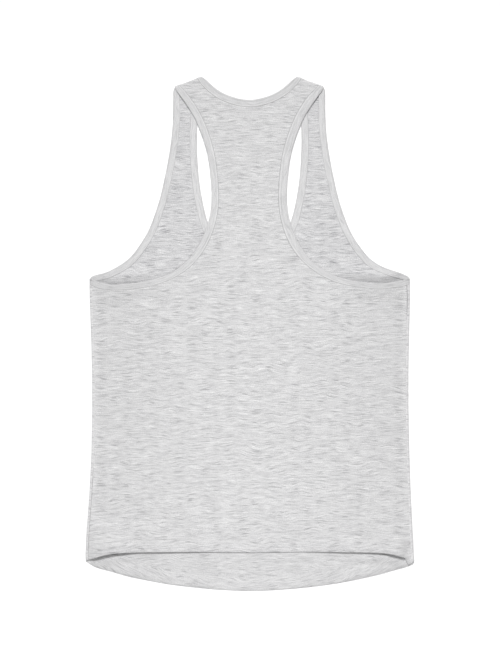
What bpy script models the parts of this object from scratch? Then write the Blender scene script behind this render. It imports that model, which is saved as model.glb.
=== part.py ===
"""Racerback tank top in light jersey, laid flat with its back uppermost.

X runs across the garment, +Y towards the shoulders, +Z up from the surface
that it lies on. Sizes are in millimetres until the last step, which writes
metres. A place on the garment is given by `down`, the distance below the
shoulder point at the neck, and `out`, the distance from the centre line.
"""

import math

import bmesh
import bpy
import numpy as np
from mathutils import Vector
from mathutils.geometry import delaunay_2d_cdt

MM = 0.001

# Sizes of the whole garment and of its cloth.
CENTRE_DOWN = 338.54
WALL = 1.0
HEM_ALLOWANCE = 22.0
HEM_STEP = 0.8
HEM_ROUND = 0.5
SEAM_GAP = 0.3
SEAM_INSET = 3.3

# The bound edges.
BINDING_WIDTH = 8.0
BINDING_THICKNESS = 1.8
BINDING_ROUND = 0.5
BINDING_EASE = 0.3
BINDING_BLUNT = 0.4

# The shoulder fold, which is also the shoulder seam.
SHOULDER_POINT_DOWN = -0.4
SHOULDER_POINT_OUT = 61.0
SHOULDER_SLOPE = math.radians(19.0)
SHOULDER_RADIUS = 2.0

# How finely each run is divided.
NECK_STEPS = 22
DEEP_NECK_STEPS = 34
ARM_STEPS = 32
SIDE_STEPS = 14
HEM_STEPS = 13
FOLD_STEPS = 8
FILL_SPACING = 27.0
FILL_CLEARANCE = 13.5
ROW_CLEARANCE = 6.0
CORNER_CLEARANCE = 1.0
TURN_SPACING = 60.0
CURVE_POINTS = 900
CLOSE = 0.5
TINY = 1e-4
SHARP_ANGLE = math.radians(35.0)

# down, out: finished edge of the back neck, shoulder to centre.
BACK_NECK = (
    (-5.0, 62.6),
    (0.3, 59.4),
    (6.5, 53.9),
    (13.2, 46.4),
    (19.0, 38.4),
    (24.2, 28.0),
    (28.3, 15.0),
    (30.2, 0.0),
)

# down, out: finished edge of the front neck, shoulder to centre.
FRONT_NECK = (
    (-6.0, 59.8),
    (1.0, 60.1),
    (30.0, 64.6),
    (66.0, 68.0),
    (100.0, 68.1),
    (136.0, 65.5),
    (160.0, 61.8),
    (190.0, 54.6),
    (209.0, 44.0),
    (221.0, 28.0),
    (225.6, 12.0),
    (226.2, 0.0),
)

# down, out: finished edge of the back armhole, shoulder to underarm.
BACK_ARM = (
    (9.0, 103.0),
    (15.4, 98.0),
    (26.4, 89.6),
    (44.0, 77.6),
    (64.0, 67.2),
    (96.0, 56.4),
    (124.0, 51.6),
    (155.2, 49.5),
    (184.0, 52.1),
    (212.0, 61.4),
    (234.0, 74.6),
    (252.0, 94.0),
    (264.0, 119.0),
    (270.6, 146.4),
    (273.0, 171.0),
    (272.0, 192.0),
    (266.2, 207.0),
    (260.0, 216.0),
)

# down, out: finished edge of the front armhole, shoulder to underarm.
FRONT_ARM = (
    (6.0, 99.4),
    (15.4, 99.8),
    (54.0, 100.2),
    (83.0, 102.4),
    (109.6, 106.4),
    (136.0, 111.6),
    (162.4, 118.0),
    (188.8, 126.8),
    (208.0, 135.4),
    (228.4, 149.0),
    (243.0, 163.4),
    (253.8, 184.4),
    (260.9, 206.0),
    (263.6, 216.0),
)

# down, half width of the outline, radius of the side fold.
SIDE = (
    (255.0, 210.0, 2.7),
    (280.0, 210.7, 2.5),
    (320.0, 210.0, 2.1),
    (380.0, 208.7, 1.9),
    (440.0, 208.6, 1.9),
    (505.0, 209.9, 2.0),
    (558.0, 211.8, 2.3),
    (600.0, 214.0, 2.7),
    (650.0, 216.4, 2.8),
)

# across, down: front hem. Beyond 214 the cloth runs round the side fold.
FRONT_HEM = (
    (0.0, 677.3),
    (35.0, 676.2),
    (70.0, 673.3),
    (104.0, 669.3),
    (138.0, 663.4),
    (168.0, 656.4),
    (192.0, 650.0),
    (206.5, 645.8),
    (213.0, 642.2),
    (218.0, 638.6),
    (225.0, 638.0),
)

# across, down: back hem, which drops to the side seams.
BACK_HEM = (
    (0.0, 626.8),
    (60.0, 626.9),
    (115.0, 627.2),
    (152.0, 628.0),
    (183.0, 630.6),
    (203.0, 635.0),
    (216.0, 639.0),
)

# down, height of the upper side of the back at the centre.
BACK_LEVEL = (
    (0.0, 4.0),
    (26.0, 4.0),
    (80.0, 3.8),
    (200.0, 3.8),
    (300.0, 3.5),
    (420.0, 3.4),
    (540.0, 3.6),
    (640.0, 4.3),
)
LOFT_WIDTH = 75.0


def smooth_line(rows):
    """Many points of the curve that runs smoothly through every row."""
    knots = np.asarray(rows, float)
    lengths = np.linalg.norm(np.diff(knots, axis=0), axis=1)
    along = np.concatenate(([0.0], np.cumsum(np.sqrt(lengths))))
    gaps = np.diff(along)
    count = len(knots)
    matrix = np.eye(count)
    bend = np.zeros(knots.shape)
    for i in range(1, count - 1):
        matrix[i, i - 1 : i + 2] = gaps[i - 1], 2 * (gaps[i - 1] + gaps[i]), gaps[i]
        ahead = (knots[i + 1] - knots[i]) / gaps[i]
        behind = (knots[i] - knots[i - 1]) / gaps[i - 1]
        bend[i] = 6 * (ahead - behind)
    curve = np.linalg.solve(matrix, bend)
    where = np.linspace(0.0, along[-1], CURVE_POINTS)
    span = np.clip(np.searchsorted(along, where, side="right") - 1, 0, count - 2)
    late = ((where - along[span]) / gaps[span])[:, None]
    early = 1.0 - late
    straight = early * knots[span] + late * knots[span + 1]
    bent = (early**3 - early) * curve[span] + (late**3 - late) * curve[span + 1]
    return straight + bent * (gaps[span, None] ** 2) / 6


WIDTH_LINE = smooth_line([(down, width) for down, width, radius in SIDE])
RADIUS_LINE = smooth_line([(down, radius) for down, width, radius in SIDE])
LEVEL_LINE = smooth_line(BACK_LEVEL)


def read_line(line, y):
    """Value of a line of (down, value) at this height."""
    return float(np.interp(CENTRE_DOWN - y, line[:, 0], line[:, 1]))


def half_width(y):
    """Half the width of the outline at this height."""
    return read_line(WIDTH_LINE, y)


def fold_radius(y):
    """Outer radius of the side fold at this height."""
    return read_line(RADIUS_LINE, y)


def fold_start(y):
    """Distance from the centre line where the side fold starts to turn."""
    return half_width(y) - fold_radius(y)


def eased(value):
    """Rise from 0 to 1 with level ends."""
    value = min(max(value, 0.0), 1.0)
    return value * value * (3.0 - 2.0 * value)


def back_height(x, y):
    """Height of the upper side of the back above the surface."""
    level = read_line(LEVEL_LINE, y)
    from_fold = fold_start(y) - abs(x)
    from_underarm = SIDE[0][0] - (CENTRE_DOWN - y)
    share = eased(1.0 - from_fold / LOFT_WIDTH) * eased(1.0 - from_underarm / LOFT_WIDTH)
    return level + (2.0 * fold_radius(y) - level) * share


# The shoulder fold on the right: its axis, the way along it and the way out.
ALONG_SHOULDER = np.array((math.cos(SHOULDER_SLOPE), -math.sin(SHOULDER_SLOPE)))
OVER_SHOULDER = np.array((math.sin(SHOULDER_SLOPE), math.cos(SHOULDER_SLOPE)))
SHOULDER_POINT = np.array((SHOULDER_POINT_OUT, CENTRE_DOWN - SHOULDER_POINT_DOWN))
SHOULDER_AXIS = SHOULDER_POINT - SHOULDER_RADIUS * OVER_SHOULDER


def past_shoulder(point):
    """How far a flat point lies past the start of the shoulder fold."""
    return float((np.asarray(point) - SHOULDER_AXIS) @ OVER_SHOULDER)


def past_side(point):
    """How far a flat point lies past the start of the side fold."""
    return float(point[0] - fold_start(point[1]))


def past_centre(point):
    """How far a flat point lies past the centre line."""
    return -float(point[0])


def flat_rows(table):
    """The table's places as points of the flat plane."""
    return [(out, CENTRE_DOWN - down) for down, out in table]


def with_mirror(rows):
    """Rows that end at the centre line, carried on over it."""
    return rows + [(-x, y) for x, y in reversed(rows[:-1])]


def shifted(line, distance):
    """The line moved sideways, to the left of its travel."""
    travel = np.gradient(line, axis=0)
    travel /= np.linalg.norm(travel, axis=1)[:, None]
    return line + distance * np.stack((-travel[:, 1], travel[:, 0]), axis=1)


def crossing(line, past, i):
    """Where the line meets an edge between its points i - 1 and i."""
    share = past[i - 1] / (past[i - 1] - past[i])
    return (line[i - 1] + share * (line[i] - line[i - 1]))[None]


def clipped(line, past_start, past_end):
    """The part of the line between two edges, with ends exactly on them."""
    starts = np.array([past_start(point) for point in line])
    ends = np.array([past_end(point) for point in line])
    first = int(np.argmax(starts < 0.0))
    after = np.arange(len(line)) > first
    last = int(np.argmax((ends > 0.0) & after))
    return np.concatenate(
        (crossing(line, starts, first), line[first:last], crossing(line, ends, last))
    )


def spaced(line, steps):
    """The line again as a few points, closer together where it turns."""
    travel = np.diff(line, axis=0)
    heading = np.unwrap(np.arctan2(travel[:, 1], travel[:, 0]))
    turning = np.abs(np.diff(heading, prepend=heading[0]))
    weights = np.linalg.norm(travel, axis=1) + TURN_SPACING * turning
    along = np.concatenate(([0.0], np.cumsum(weights)))
    where = np.linspace(0.0, along[-1], steps + 1)
    return np.stack([np.interp(where, along, line[:, k]) for k in (0, 1)], axis=1)


def run(table, into, past_end, steps):
    """Edge, inner edge and panel edge of one bound run, as lines of points.

    `into` is +1 when the panel lies to the left of the run, -1 to the right.
    """
    rows = flat_rows(table)
    if past_end is past_centre:
        rows = with_mirror(rows)
    line = smooth_line(rows)
    lines = []
    for distance in (0.0, BINDING_WIDTH, BINDING_WIDTH + SEAM_GAP):
        moved = shifted(line, into * distance)
        lines.append(spaced(clipped(moved, past_shoulder, past_end), steps))
    return lines


RUNS = {
    "back_neck": run(BACK_NECK, 1, past_centre, NECK_STEPS),
    "front_neck": run(FRONT_NECK, 1, past_centre, DEEP_NECK_STEPS),
    "back_arm": run(BACK_ARM, -1, past_side, ARM_STEPS),
    "front_arm": run(FRONT_ARM, -1, past_side, ARM_STEPS),
}


def binding_section():
    """Section of a binding: from which of its edges, how far in, how far up."""
    half = BINDING_THICKNESS / 2.0
    return (
        (0, 0.0, -BINDING_BLUNT),
        (0, 0.0, BINDING_BLUNT),
        (0, BINDING_ROUND, half),
        (1, -BINDING_EASE, half),
        (1, 0.0, half - BINDING_EASE),
        (1, 0.0, BINDING_EASE - half),
        (1, -BINDING_EASE, -half),
        (0, BINDING_ROUND, -half),
    )


def back_stations(edge, inner):
    """Stations of a binding on the upper layer: edge, inner edge, way out."""
    lifted = []
    for first, second in zip(edge, inner):
        ends = []
        for x, y in (first, second):
            ends.append(np.array((x, y, back_height(x, y) - WALL / 2.0)))
        lifted.append((ends[0], ends[1], np.array((0.0, 0.0, 1.0))))
    return lifted


def front_stations(edge, inner):
    """Stations of a binding on the lower layer: edge, inner edge, way out."""
    height = BINDING_THICKNESS / 2.0
    lifted = []
    for first, second in zip(edge, inner):
        ends = [np.array((x, y, height)) for x, y in (first, second)]
        lifted.append((ends[0], ends[1], np.array((0.0, 0.0, -1.0))))
    return lifted


def fold_stations(back, front, over):
    """Stations between the last on the back and the first on the front."""
    turned = []
    for i in range(1, FOLD_STEPS):
        share = i / FOLD_STEPS
        angle = math.pi * share
        way = np.array((*(np.array(over) * math.sin(angle)), math.cos(angle)))
        ends = []
        for k in (0, 1):
            low, high = front[k][2], back[k][2]
            axis = back[k] + share * (front[k] - back[k])
            axis[2] = (low + high) / 2.0
            ends.append(axis + way * (high - low) / 2.0)
        turned.append((ends[0], ends[1], way))
    return turned


def mirrored(stations):
    """The same stations on the other side of the centre line."""
    flip = np.array((-1.0, 1.0, 1.0))
    return [(edge * flip, inner * flip, way * flip) for edge, inner, way in stations]


def neck_stations():
    """The neck binding: back, left shoulder, front, right shoulder."""
    back = back_stations(*RUNS["back_neck"][:2])
    front = front_stations(*RUNS["front_neck"][:2])
    fold = fold_stations(back[0], front[0], OVER_SHOULDER)
    ring = back + mirrored(back)[-2::-1]
    ring += mirrored(fold) + mirrored(front)
    ring += front[-2::-1] + fold[::-1]
    return ring


def arm_stations():
    """The right armhole binding: back, underarm, front, shoulder."""
    back = back_stations(*RUNS["back_arm"][:2])
    front = front_stations(*RUNS["front_arm"][:2])
    side = fold_stations(back[-1], front[-1], (1.0, 0.0))
    top = fold_stations(back[0], front[0], OVER_SHOULDER)
    return back + side + front[::-1] + top[::-1]


def ring_mesh(stations):
    """Corners and faces of the closed band that joins the stations."""
    section = binding_section()
    points = []
    for edge, inner, way in stations:
        across = (inner - edge) / np.linalg.norm(inner - edge)
        ends = (edge, inner)
        for end, inward, up in section:
            points.append(ends[end] + across * inward + way * up)
    around, count = len(section), len(stations)
    faces = []
    for i in range(count):
        here, there = i * around, ((i + 1) % count) * around
        for j in range(around):
            k = (j + 1) % around
            faces.append((here + j, here + k, there + k, there + j))
    return points, faces


def over_shoulder(x, y, depth):
    """Flat point and drop of cloth that has started over the shoulder fold."""
    angle = past_shoulder((x, y)) / SHOULDER_RADIUS
    radius = SHOULDER_RADIUS - depth
    reach = radius * math.sin(angle) - past_shoulder((x, y))
    x, y = np.array((x, y)) + OVER_SHOULDER * reach
    return x, y, SHOULDER_RADIUS - radius * math.cos(angle)


def on_shoulder(x, y):
    """Whether a flat point lies past the start of the shoulder fold."""
    return past_shoulder((x, y)) > 0.0 and y > SHOULDER_AXIS[1] - SHOULDER_POINT_OUT


def place_front(x, y, depth):
    """Where a point of the front's flat pattern lies, at a depth in the cloth."""
    side = math.copysign(1.0, x)
    x = abs(x)
    if on_shoulder(x, y):
        x, y, rise = over_shoulder(x, y, depth)
        return side * x, y, rise
    over = past_side((x, y))
    if over <= 0.0:
        return side * x, y, depth
    radius = fold_radius(y)
    angle = min(over / radius, math.pi)
    beyond = max(over - math.pi * radius, 0.0)
    x = fold_start(y) + (radius - depth) * math.sin(angle) - beyond
    return side * x, y, radius - (radius - depth) * math.cos(angle)


def place_back(x, y, depth):
    """Where a point of the back's flat pattern lies, at a depth in the cloth."""
    side = math.copysign(1.0, x)
    x = abs(x)
    if on_shoulder(x, y):
        x, y, drop = over_shoulder(x, y, depth)
        return side * x, y, 2.0 * SHOULDER_RADIUS - drop
    return side * x, y, back_height(x, y) - depth


def shoulder_strip(here, there):
    """Flat points over the shoulder fold at one edge, up to the seam.

    `here` is where the edge meets the fold on this layer, `there` on the
    other one.
    """
    start, end = [(point - SHOULDER_AXIS) @ ALONG_SHOULDER for point in (here, there)]
    points = []
    for i in range(FOLD_STEPS // 2 + 1):
        share = i / FOLD_STEPS
        reach = min(math.pi * share, math.pi / 2.0 - SEAM_GAP / 2.0 / SHOULDER_RADIUS)
        along = start + share * (end - start)
        flat = SHOULDER_AXIS + along * ALONG_SHOULDER
        points.append(flat + SHOULDER_RADIUS * reach * OVER_SHOULDER)
    return points


def hem_line(table):
    """Dense hem curve, carried on level over the centre line."""
    return smooth_line(with_mirror([(x, CENTRE_DOWN - down) for x, down in table[::-1]]))


def hem_height(line, x):
    """Height of the hem curve at this distance from the centre line."""
    return float(np.interp(x, line[::-1, 0], line[::-1, 1]))


def distance_to(line, point):
    """Shortest distance from a point to a dense line."""
    return float(np.min(np.linalg.norm(line - np.asarray(point), axis=1)))


def hem_depth(line, point):
    """Thickness of the cloth: doubled where the hem is turned in."""
    rise = eased((HEM_ALLOWANCE + HEM_STEP - distance_to(line, point)) / HEM_STEP)
    return WALL * (1.0 + rise)


def seam_place(y):
    """Distance of the side seam from the centre line."""
    return half_width(y) - SEAM_INSET


def front_seam(y):
    """The front's cut edge at the side seam, in its flat pattern."""
    start = fold_start(y)
    return start + math.pi * fold_radius(y) + start - seam_place(y) - SEAM_GAP / 2.0


def back_seam(y):
    """The back's cut edge at the side seam, in its flat pattern."""
    return seam_place(y) - SEAM_GAP / 2.0


def settled(across, line):
    """Where the edge `across` meets the hem curve."""
    y = line[0][1]
    for _ in range(6):
        y = hem_height(line, across(y))
    return np.array((across(y), y))


def allowance_lines(line, across):
    """The two edges of the turned-in hem, from the centre to the side seam."""
    lines = []
    for distance in (HEM_ALLOWANCE, HEM_ALLOWANCE + HEM_STEP):
        moved = shifted(line[::-1], distance)
        kept = clipped(moved, past_centre, lambda point: point[0] - across(point[1]))
        kept = spaced(kept, HEM_STEPS)
        kept[0][0] = 0.0
        kept[-1][0] = across(kept[-1][1])
        lines.append(kept)
    return lines


class Pattern:
    """Half of one panel as flat points with the edges that the mesh keeps."""

    def __init__(self, outline):
        self.points = []
        self.edges = []
        self.outline = np.asarray(outline)
        self.add_line(outline, closed=True)

    def add_line(self, line, closed=False):
        """Keep the edges of this line, and of its closing step if asked."""
        first = len(self.points)
        self.points += [Vector((float(x), float(y))) for x, y in line]
        count = len(self.points) - first
        self.edges += [(first + i, first + i + 1) for i in range(count - 1)]
        if closed:
            self.edges.append((first + count - 1, first))

    def fill(self):
        """Scatter evenly staggered points over the inside of the outline."""
        kept = np.array([tuple(point) for point in self.points])
        pairs = np.asarray(self.edges)
        low, high = self.outline.min(axis=0), self.outline.max(axis=0)
        heights = np.arange(low[1], high[1], FILL_SPACING * math.sin(math.pi / 3.0))
        for row, y in enumerate(heights):
            stagger = FILL_SPACING / 2.0 if row % 2 else FILL_SPACING
            for x in np.arange(stagger, high[0], FILL_SPACING):
                if inside(self.outline, x, y) and far_enough(kept, pairs, x, y):
                    self.points.append(Vector((x, y)))

    def triangles(self):
        """Corners and triangles of the half pattern, inside its outline."""
        made = delaunay_2d_cdt(self.points, self.edges, [], 0, TINY, False)
        points = [tuple(point) for point in made[0]]
        kept = []
        for face in made[2]:
            middle = np.mean([points[i] for i in face], axis=0)
            if inside(self.outline, *middle):
                kept.append(tuple(face))
        return points, kept


def inside(ring, x, y):
    """Whether the point lies inside the closed ring of points."""
    after = np.roll(ring, -1, axis=0)
    crosses = (ring[:, 1] > y) != (after[:, 1] > y)
    rise = np.where(crosses, after[:, 1] - ring[:, 1], 1.0)
    meets = ring[:, 0] + (y - ring[:, 1]) * (after[:, 0] - ring[:, 0]) / rise
    return bool(np.count_nonzero(crosses & (meets > x)) % 2)


def far_enough(points, pairs, x, y):
    """Whether the point keeps clear of every edge that the mesh keeps."""
    start, end = points[pairs[:, 0]], points[pairs[:, 1]]
    step = end - start
    offset = np.array((x, y)) - start
    share = np.sum(offset * step, axis=1) / np.maximum(np.sum(step * step, axis=1), TINY**2)
    nearest = start + step * np.clip(share, 0.0, 1.0)[:, None]
    gaps = np.linalg.norm(nearest - np.array((x, y)), axis=1)
    return bool(gaps.min() > FILL_CLEARANCE)


def seam_edge(across, top, bottom, lines):
    """The side seam edge between two corners, with the hem lines' ends on it."""
    ends = [line[-1][1] for line in lines]
    even = np.linspace(top[1], bottom[1], SIDE_STEPS + 1)[1:-1]
    clear = [y for y in even if min(abs(y - end) for end in ends) > ROW_CLEARANCE]
    return [np.array((across(y), y)) for y in sorted(clear + ends, reverse=True)]


def seam_corner(across, place, line):
    """Where the side seam meets the edge of the back armhole."""
    tail = line[-6:]
    y = float(np.interp(place(line[-1][1]), tail[:, 0], tail[:, 1]))
    return np.array((across(y), y))


def front_pattern():
    """The front's half pattern, with its side wrapped beyond the fold."""
    hem = hem_line(FRONT_HEM)
    neck = RUNS["front_neck"][2]
    arm = RUNS["front_arm"][2]
    back_arm = RUNS["back_arm"][2]
    turns = [math.pi * i / FOLD_STEPS for i in range(FOLD_STEPS + 1)]

    def column_at(turn):
        return lambda y: fold_start(y) + turn * fold_radius(y)

    hem_end = settled(front_seam, hem)
    feet = [settled(column_at(turn), hem) for turn in turns]
    evenly = np.linspace(0.0, feet[0][0], HEM_STEPS + 1)
    hem_edge = [(x, hem_height(hem, x)) for x in evenly] + feet[1:] + [hem_end]

    heads = []
    for turn in turns:
        y = arm[-1][1] + turn / math.pi * (back_arm[-1][1] - arm[-1][1])
        heads.append(np.array((column_at(turn)(y), y)))
    corner = seam_corner(front_seam, seam_place, back_arm)

    turned_in = allowance_lines(hem, front_seam)
    seam = seam_edge(front_seam, corner, hem_end, turned_in)
    at_arm = shoulder_strip(arm[0], back_arm[0])
    at_neck = shoulder_strip(neck[0], RUNS["back_neck"][2][0])
    outline = hem_edge + seam[::-1] + [corner] + heads[::-1]
    outline += list(arm[-2:0:-1]) + at_arm + at_neck[::-1] + list(neck[1:])

    pattern = Pattern(outline)
    for ends in zip(at_neck[:-1], at_arm[:-1]):
        pattern.add_line(ends)
    for turn, head, foot in zip(turns, heads, feet):
        low, high = foot[1] + CORNER_CLEARANCE, head[1] - CORNER_CLEARANCE
        middle = [(column_at(turn)(y), y) for x, y in seam if low < y < high]
        pattern.add_line([head] + middle + [foot])
    for line in turned_in:
        pattern.add_line(line)
    pattern.fill()
    return pattern, hem


def back_pattern():
    """The back's half pattern."""
    hem = hem_line(BACK_HEM)
    neck = RUNS["back_neck"][2]
    arm = RUNS["back_arm"][2]
    hem_end = settled(back_seam, hem)
    evenly = np.linspace(0.0, hem_end[0], HEM_STEPS + 1)
    hem_edge = [(x, hem_height(hem, x)) for x in evenly]
    corner = seam_corner(back_seam, back_seam, arm)
    kept_arm = [point for point in arm[1:] if point[0] < corner[0] - CORNER_CLEARANCE]

    turned_in = allowance_lines(hem, back_seam)
    seam = seam_edge(back_seam, corner, hem_end, turned_in)
    at_arm = shoulder_strip(arm[0], RUNS["front_arm"][2][0])
    at_neck = shoulder_strip(neck[0], RUNS["front_neck"][2][0])
    outline = hem_edge + seam[::-1] + [corner] + kept_arm[::-1]
    outline += at_arm + at_neck[::-1] + list(neck[1:])

    pattern = Pattern(outline)
    for ends in zip(at_neck[:-1], at_arm[:-1]):
        pattern.add_line(ends)
    for line in turned_in:
        pattern.add_line(line)
    pattern.fill()
    return pattern, hem


def both_halves(half, triangles):
    """The whole flat pattern and its triangles, from the half and its mirror."""
    flat = [np.array(point) for point in half]
    other = {}
    for i, (x, y) in enumerate(half):
        if abs(x) < TINY:
            flat[i][0] = 0.0
            other[i] = i
        else:
            other[i] = len(flat)
            flat.append(np.array((-x, y)))
    faces = list(triangles)
    faces += [tuple(other[i] for i in reversed(face)) for face in triangles]
    used = sorted({i for face in faces for i in face})
    number = {i: k for k, i in enumerate(used)}
    return [flat[i] for i in used], [tuple(number[i] for i in face) for face in faces]


def open_edges(faces):
    """The edges of the flat pattern that belong to one triangle only."""
    steps = {(face[i], face[(i + 1) % 3]) for face in faces for i in range(3)}
    return sorted(step for step in steps if (step[1], step[0]) not in steps)


def panel_mesh(pattern, hem, place):
    """Corners and faces of the whole panel, as a closed wall of cloth."""
    flat, faces = both_halves(*pattern.triangles())
    edges = open_edges(faces)
    after = dict(edges)
    before = {end: start for start, end in edges}
    depths = [hem_depth(hem, (abs(x), y)) for x, y in flat]
    count = len(flat)
    points = [place(x, y, 0.0) for x, y in flat]
    points += [place(x, y, depth) for (x, y), depth in zip(flat, depths)]

    middle = {}
    for i in after:
        trio = (flat[before[i]], flat[i], flat[after[i]])
        on_hem = [distance_to(hem, (abs(x), y)) < CLOSE for x, y in trio]
        travel = trio[2] - trio[0]
        outward = np.array((travel[1], -travel[0])) / np.linalg.norm(travel)
        x, y = flat[i] + outward * (HEM_ROUND if all(on_hem) else 0.0)
        middle[i] = len(points)
        points.append(place(x, y, depths[i] / 2.0))

    solid = list(faces)
    solid += [tuple(count + i for i in reversed(face)) for face in faces]
    for start, end in edges:
        solid.append((end, start, middle[start], middle[end]))
        solid.append((middle[end], middle[start], count + start, count + end))
    return points, solid


def cloth_material(name, tone, roughness):
    """Plain jersey material."""
    material = bpy.data.materials.new(name)
    material.use_nodes = True
    shader = material.node_tree.nodes["Principled BSDF"]
    shader.inputs["Base Color"].default_value = (tone, tone, tone, 1.0)
    shader.inputs["Roughness"].default_value = roughness
    return material


def make_object(name, points, faces, material):
    """One named solid, closed and facing out, in metres."""
    mesh = bpy.data.meshes.new(name)
    corners = [[float(value) * MM for value in point] for point in points]
    mesh.from_pydata(corners, [], faces)
    work = bmesh.new()
    work.from_mesh(mesh)
    bmesh.ops.triangulate(work, faces=work.faces[:])
    if work.calc_volume(signed=True) < 0.0:
        bmesh.ops.reverse_faces(work, faces=work.faces[:])
    work.to_mesh(mesh)
    work.free()
    mesh.shade_smooth()
    mesh.set_sharp_from_angle(angle=SHARP_ANGLE)
    mesh.materials.append(material)
    made = bpy.data.objects.new(name, mesh)
    bpy.context.scene.collection.objects.link(made)
    return made


def main():
    """Build the five sewn pieces."""
    for old in list(bpy.data.objects):
        bpy.data.objects.remove(old)
    bpy.context.scene.unit_settings.scale_length = 1.0

    front = panel_mesh(*front_pattern(), place_front)
    make_object("front_panel", *front, cloth_material("jersey_front", 0.64, 0.9))
    back = panel_mesh(*back_pattern(), place_back)
    make_object("back_panel", *back, cloth_material("jersey_back", 0.68, 0.9))
    neck = ring_mesh(neck_stations())
    make_object("neck_binding", *neck, cloth_material("jersey_neck", 0.72, 0.85))
    arm = arm_stations()
    right = cloth_material("jersey_arm_right", 0.72, 0.85)
    left = cloth_material("jersey_arm_left", 0.72, 0.85)
    make_object("armhole_binding_right", *ring_mesh(arm), right)
    make_object("armhole_binding_left", *ring_mesh(mirrored(arm)), left)


main()
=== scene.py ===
"""Looks of a racerback tank top in grey heather jersey, laid flat, back uppermost.

X runs across the garment, +Y towards the shoulders and +Z up from the surface
that it lies on. The cutting tables are in millimetres, as a garment is drafted,
and a mesh is in metres. In the tables `down` is the distance below the shoulder
point at the neck and `out` the distance from the centre line.
"""

import logging
import math
from collections.abc import Callable, Mapping, Sequence
from dataclasses import dataclass, field, replace
from enum import Enum

import bmesh
import bpy
import numpy as np
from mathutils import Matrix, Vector
from mathutils.geometry import delaunay_2d_cdt
from mathutils.kdtree import KDTree


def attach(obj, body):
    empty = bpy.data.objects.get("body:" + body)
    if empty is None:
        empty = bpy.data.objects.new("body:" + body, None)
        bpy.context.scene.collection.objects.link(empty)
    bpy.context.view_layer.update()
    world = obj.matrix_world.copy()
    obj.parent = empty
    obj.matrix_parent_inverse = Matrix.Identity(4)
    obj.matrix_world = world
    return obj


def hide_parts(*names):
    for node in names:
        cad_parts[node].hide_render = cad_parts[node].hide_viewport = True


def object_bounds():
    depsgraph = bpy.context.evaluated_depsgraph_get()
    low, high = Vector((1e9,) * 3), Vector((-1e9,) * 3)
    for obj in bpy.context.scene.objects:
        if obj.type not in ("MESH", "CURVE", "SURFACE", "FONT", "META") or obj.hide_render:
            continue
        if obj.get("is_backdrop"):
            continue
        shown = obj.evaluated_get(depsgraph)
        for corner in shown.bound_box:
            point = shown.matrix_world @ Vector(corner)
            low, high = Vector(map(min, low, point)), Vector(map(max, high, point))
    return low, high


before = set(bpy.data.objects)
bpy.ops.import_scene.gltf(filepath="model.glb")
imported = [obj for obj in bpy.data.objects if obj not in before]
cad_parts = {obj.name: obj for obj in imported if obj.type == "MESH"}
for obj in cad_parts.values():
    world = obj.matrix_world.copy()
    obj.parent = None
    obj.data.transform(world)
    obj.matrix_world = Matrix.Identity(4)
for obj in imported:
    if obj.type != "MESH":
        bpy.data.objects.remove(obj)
CAD_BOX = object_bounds()

LOG = logging.getLogger("tank_top")
MM = 0.001
TINY = 1e-4
CLOTH_UV = "cloth"
BODY = "root"
SHARP_FROM = math.radians(50.0)

Array = np.ndarray
Table = tuple[tuple[float, ...], ...]
Stitch = tuple[Array, Array, Array]  # start, end, way out of the cloth


class Layer(Enum):
    """Which of the two layers of the laid garment a piece of cloth is in."""

    LOWER = "front"
    UPPER = "back"


class Hand(Enum):
    """The wearer's left, at -X as the back is uppermost, or right."""

    LEFT = -1.0
    RIGHT = 1.0


def smooth_line(rows: Sequence[Sequence[float]], count: int = 900) -> Array:
    """Curve that runs smoothly through every row.

    Args:
        rows: the places that it passes, in order.
        count: how many points it is given.

    Returns:
        The points, one row each.
    """
    knots = np.asarray(rows, float)
    lengths = np.linalg.norm(np.diff(knots, axis=0), axis=1)
    along = np.concatenate(([0.0], np.cumsum(np.sqrt(lengths))))
    gaps = np.diff(along)
    last = len(knots) - 1
    matrix = np.eye(last + 1)
    bend = np.zeros(knots.shape)
    for i in range(1, last):
        matrix[i, i - 1 : i + 2] = gaps[i - 1], 2 * (gaps[i - 1] + gaps[i]), gaps[i]
        ahead = (knots[i + 1] - knots[i]) / gaps[i]
        behind = (knots[i] - knots[i - 1]) / gaps[i - 1]
        bend[i] = 6 * (ahead - behind)
    curve = np.linalg.solve(matrix, bend)
    where = np.linspace(0.0, along[-1], count)
    span = np.clip(np.searchsorted(along, where, side="right") - 1, 0, last - 1)
    late = ((where - along[span]) / gaps[span])[:, None]
    early = 1.0 - late
    straight = early * knots[span] + late * knots[span + 1]
    bent = (early**3 - early) * curve[span] + (late**3 - late) * curve[span + 1]
    return straight + bent * (gaps[span, None] ** 2) / 6


def eased(value: Array | float) -> Array:
    """Rise from 0 to 1 with level ends."""
    value = np.clip(value, 0.0, 1.0)
    return value * value * (3.0 - 2.0 * value)


def shifted(line: Array, distance: float) -> Array:
    """Move a line sideways.

    Args:
        line: flat points.
        distance: how far, to the left of its travel.

    Returns:
        As many points.
    """
    travel = np.gradient(line, axis=0)
    travel /= np.linalg.norm(travel, axis=1)[:, None]
    return line + distance * np.stack((-travel[:, 1], travel[:, 0]), axis=1)


def travelled(line: Array) -> Array:
    """Distance along a line from its start to each of its points."""
    steps = np.linalg.norm(np.diff(line, axis=0), axis=1)
    return np.concatenate(([0.0], np.cumsum(steps)))


def sampled(line: Array, along: Array, where: Array) -> Array:
    """Rows between those of a line, by the value of `along` that each of its rows has."""
    return np.stack([np.interp(where, along, column) for column in line.T], axis=1)


def evenly(line: Array, spacing: float) -> Array:
    """Space the points of a line evenly.

    Args:
        line: points, with any number of columns.
        spacing: distance from point to point.

    Returns:
        The line again, with its ends kept.
    """
    along = travelled(line)
    where = np.linspace(0.0, along[-1], max(2, round(along[-1] / spacing) + 1))
    return sampled(line, along, where)


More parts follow.
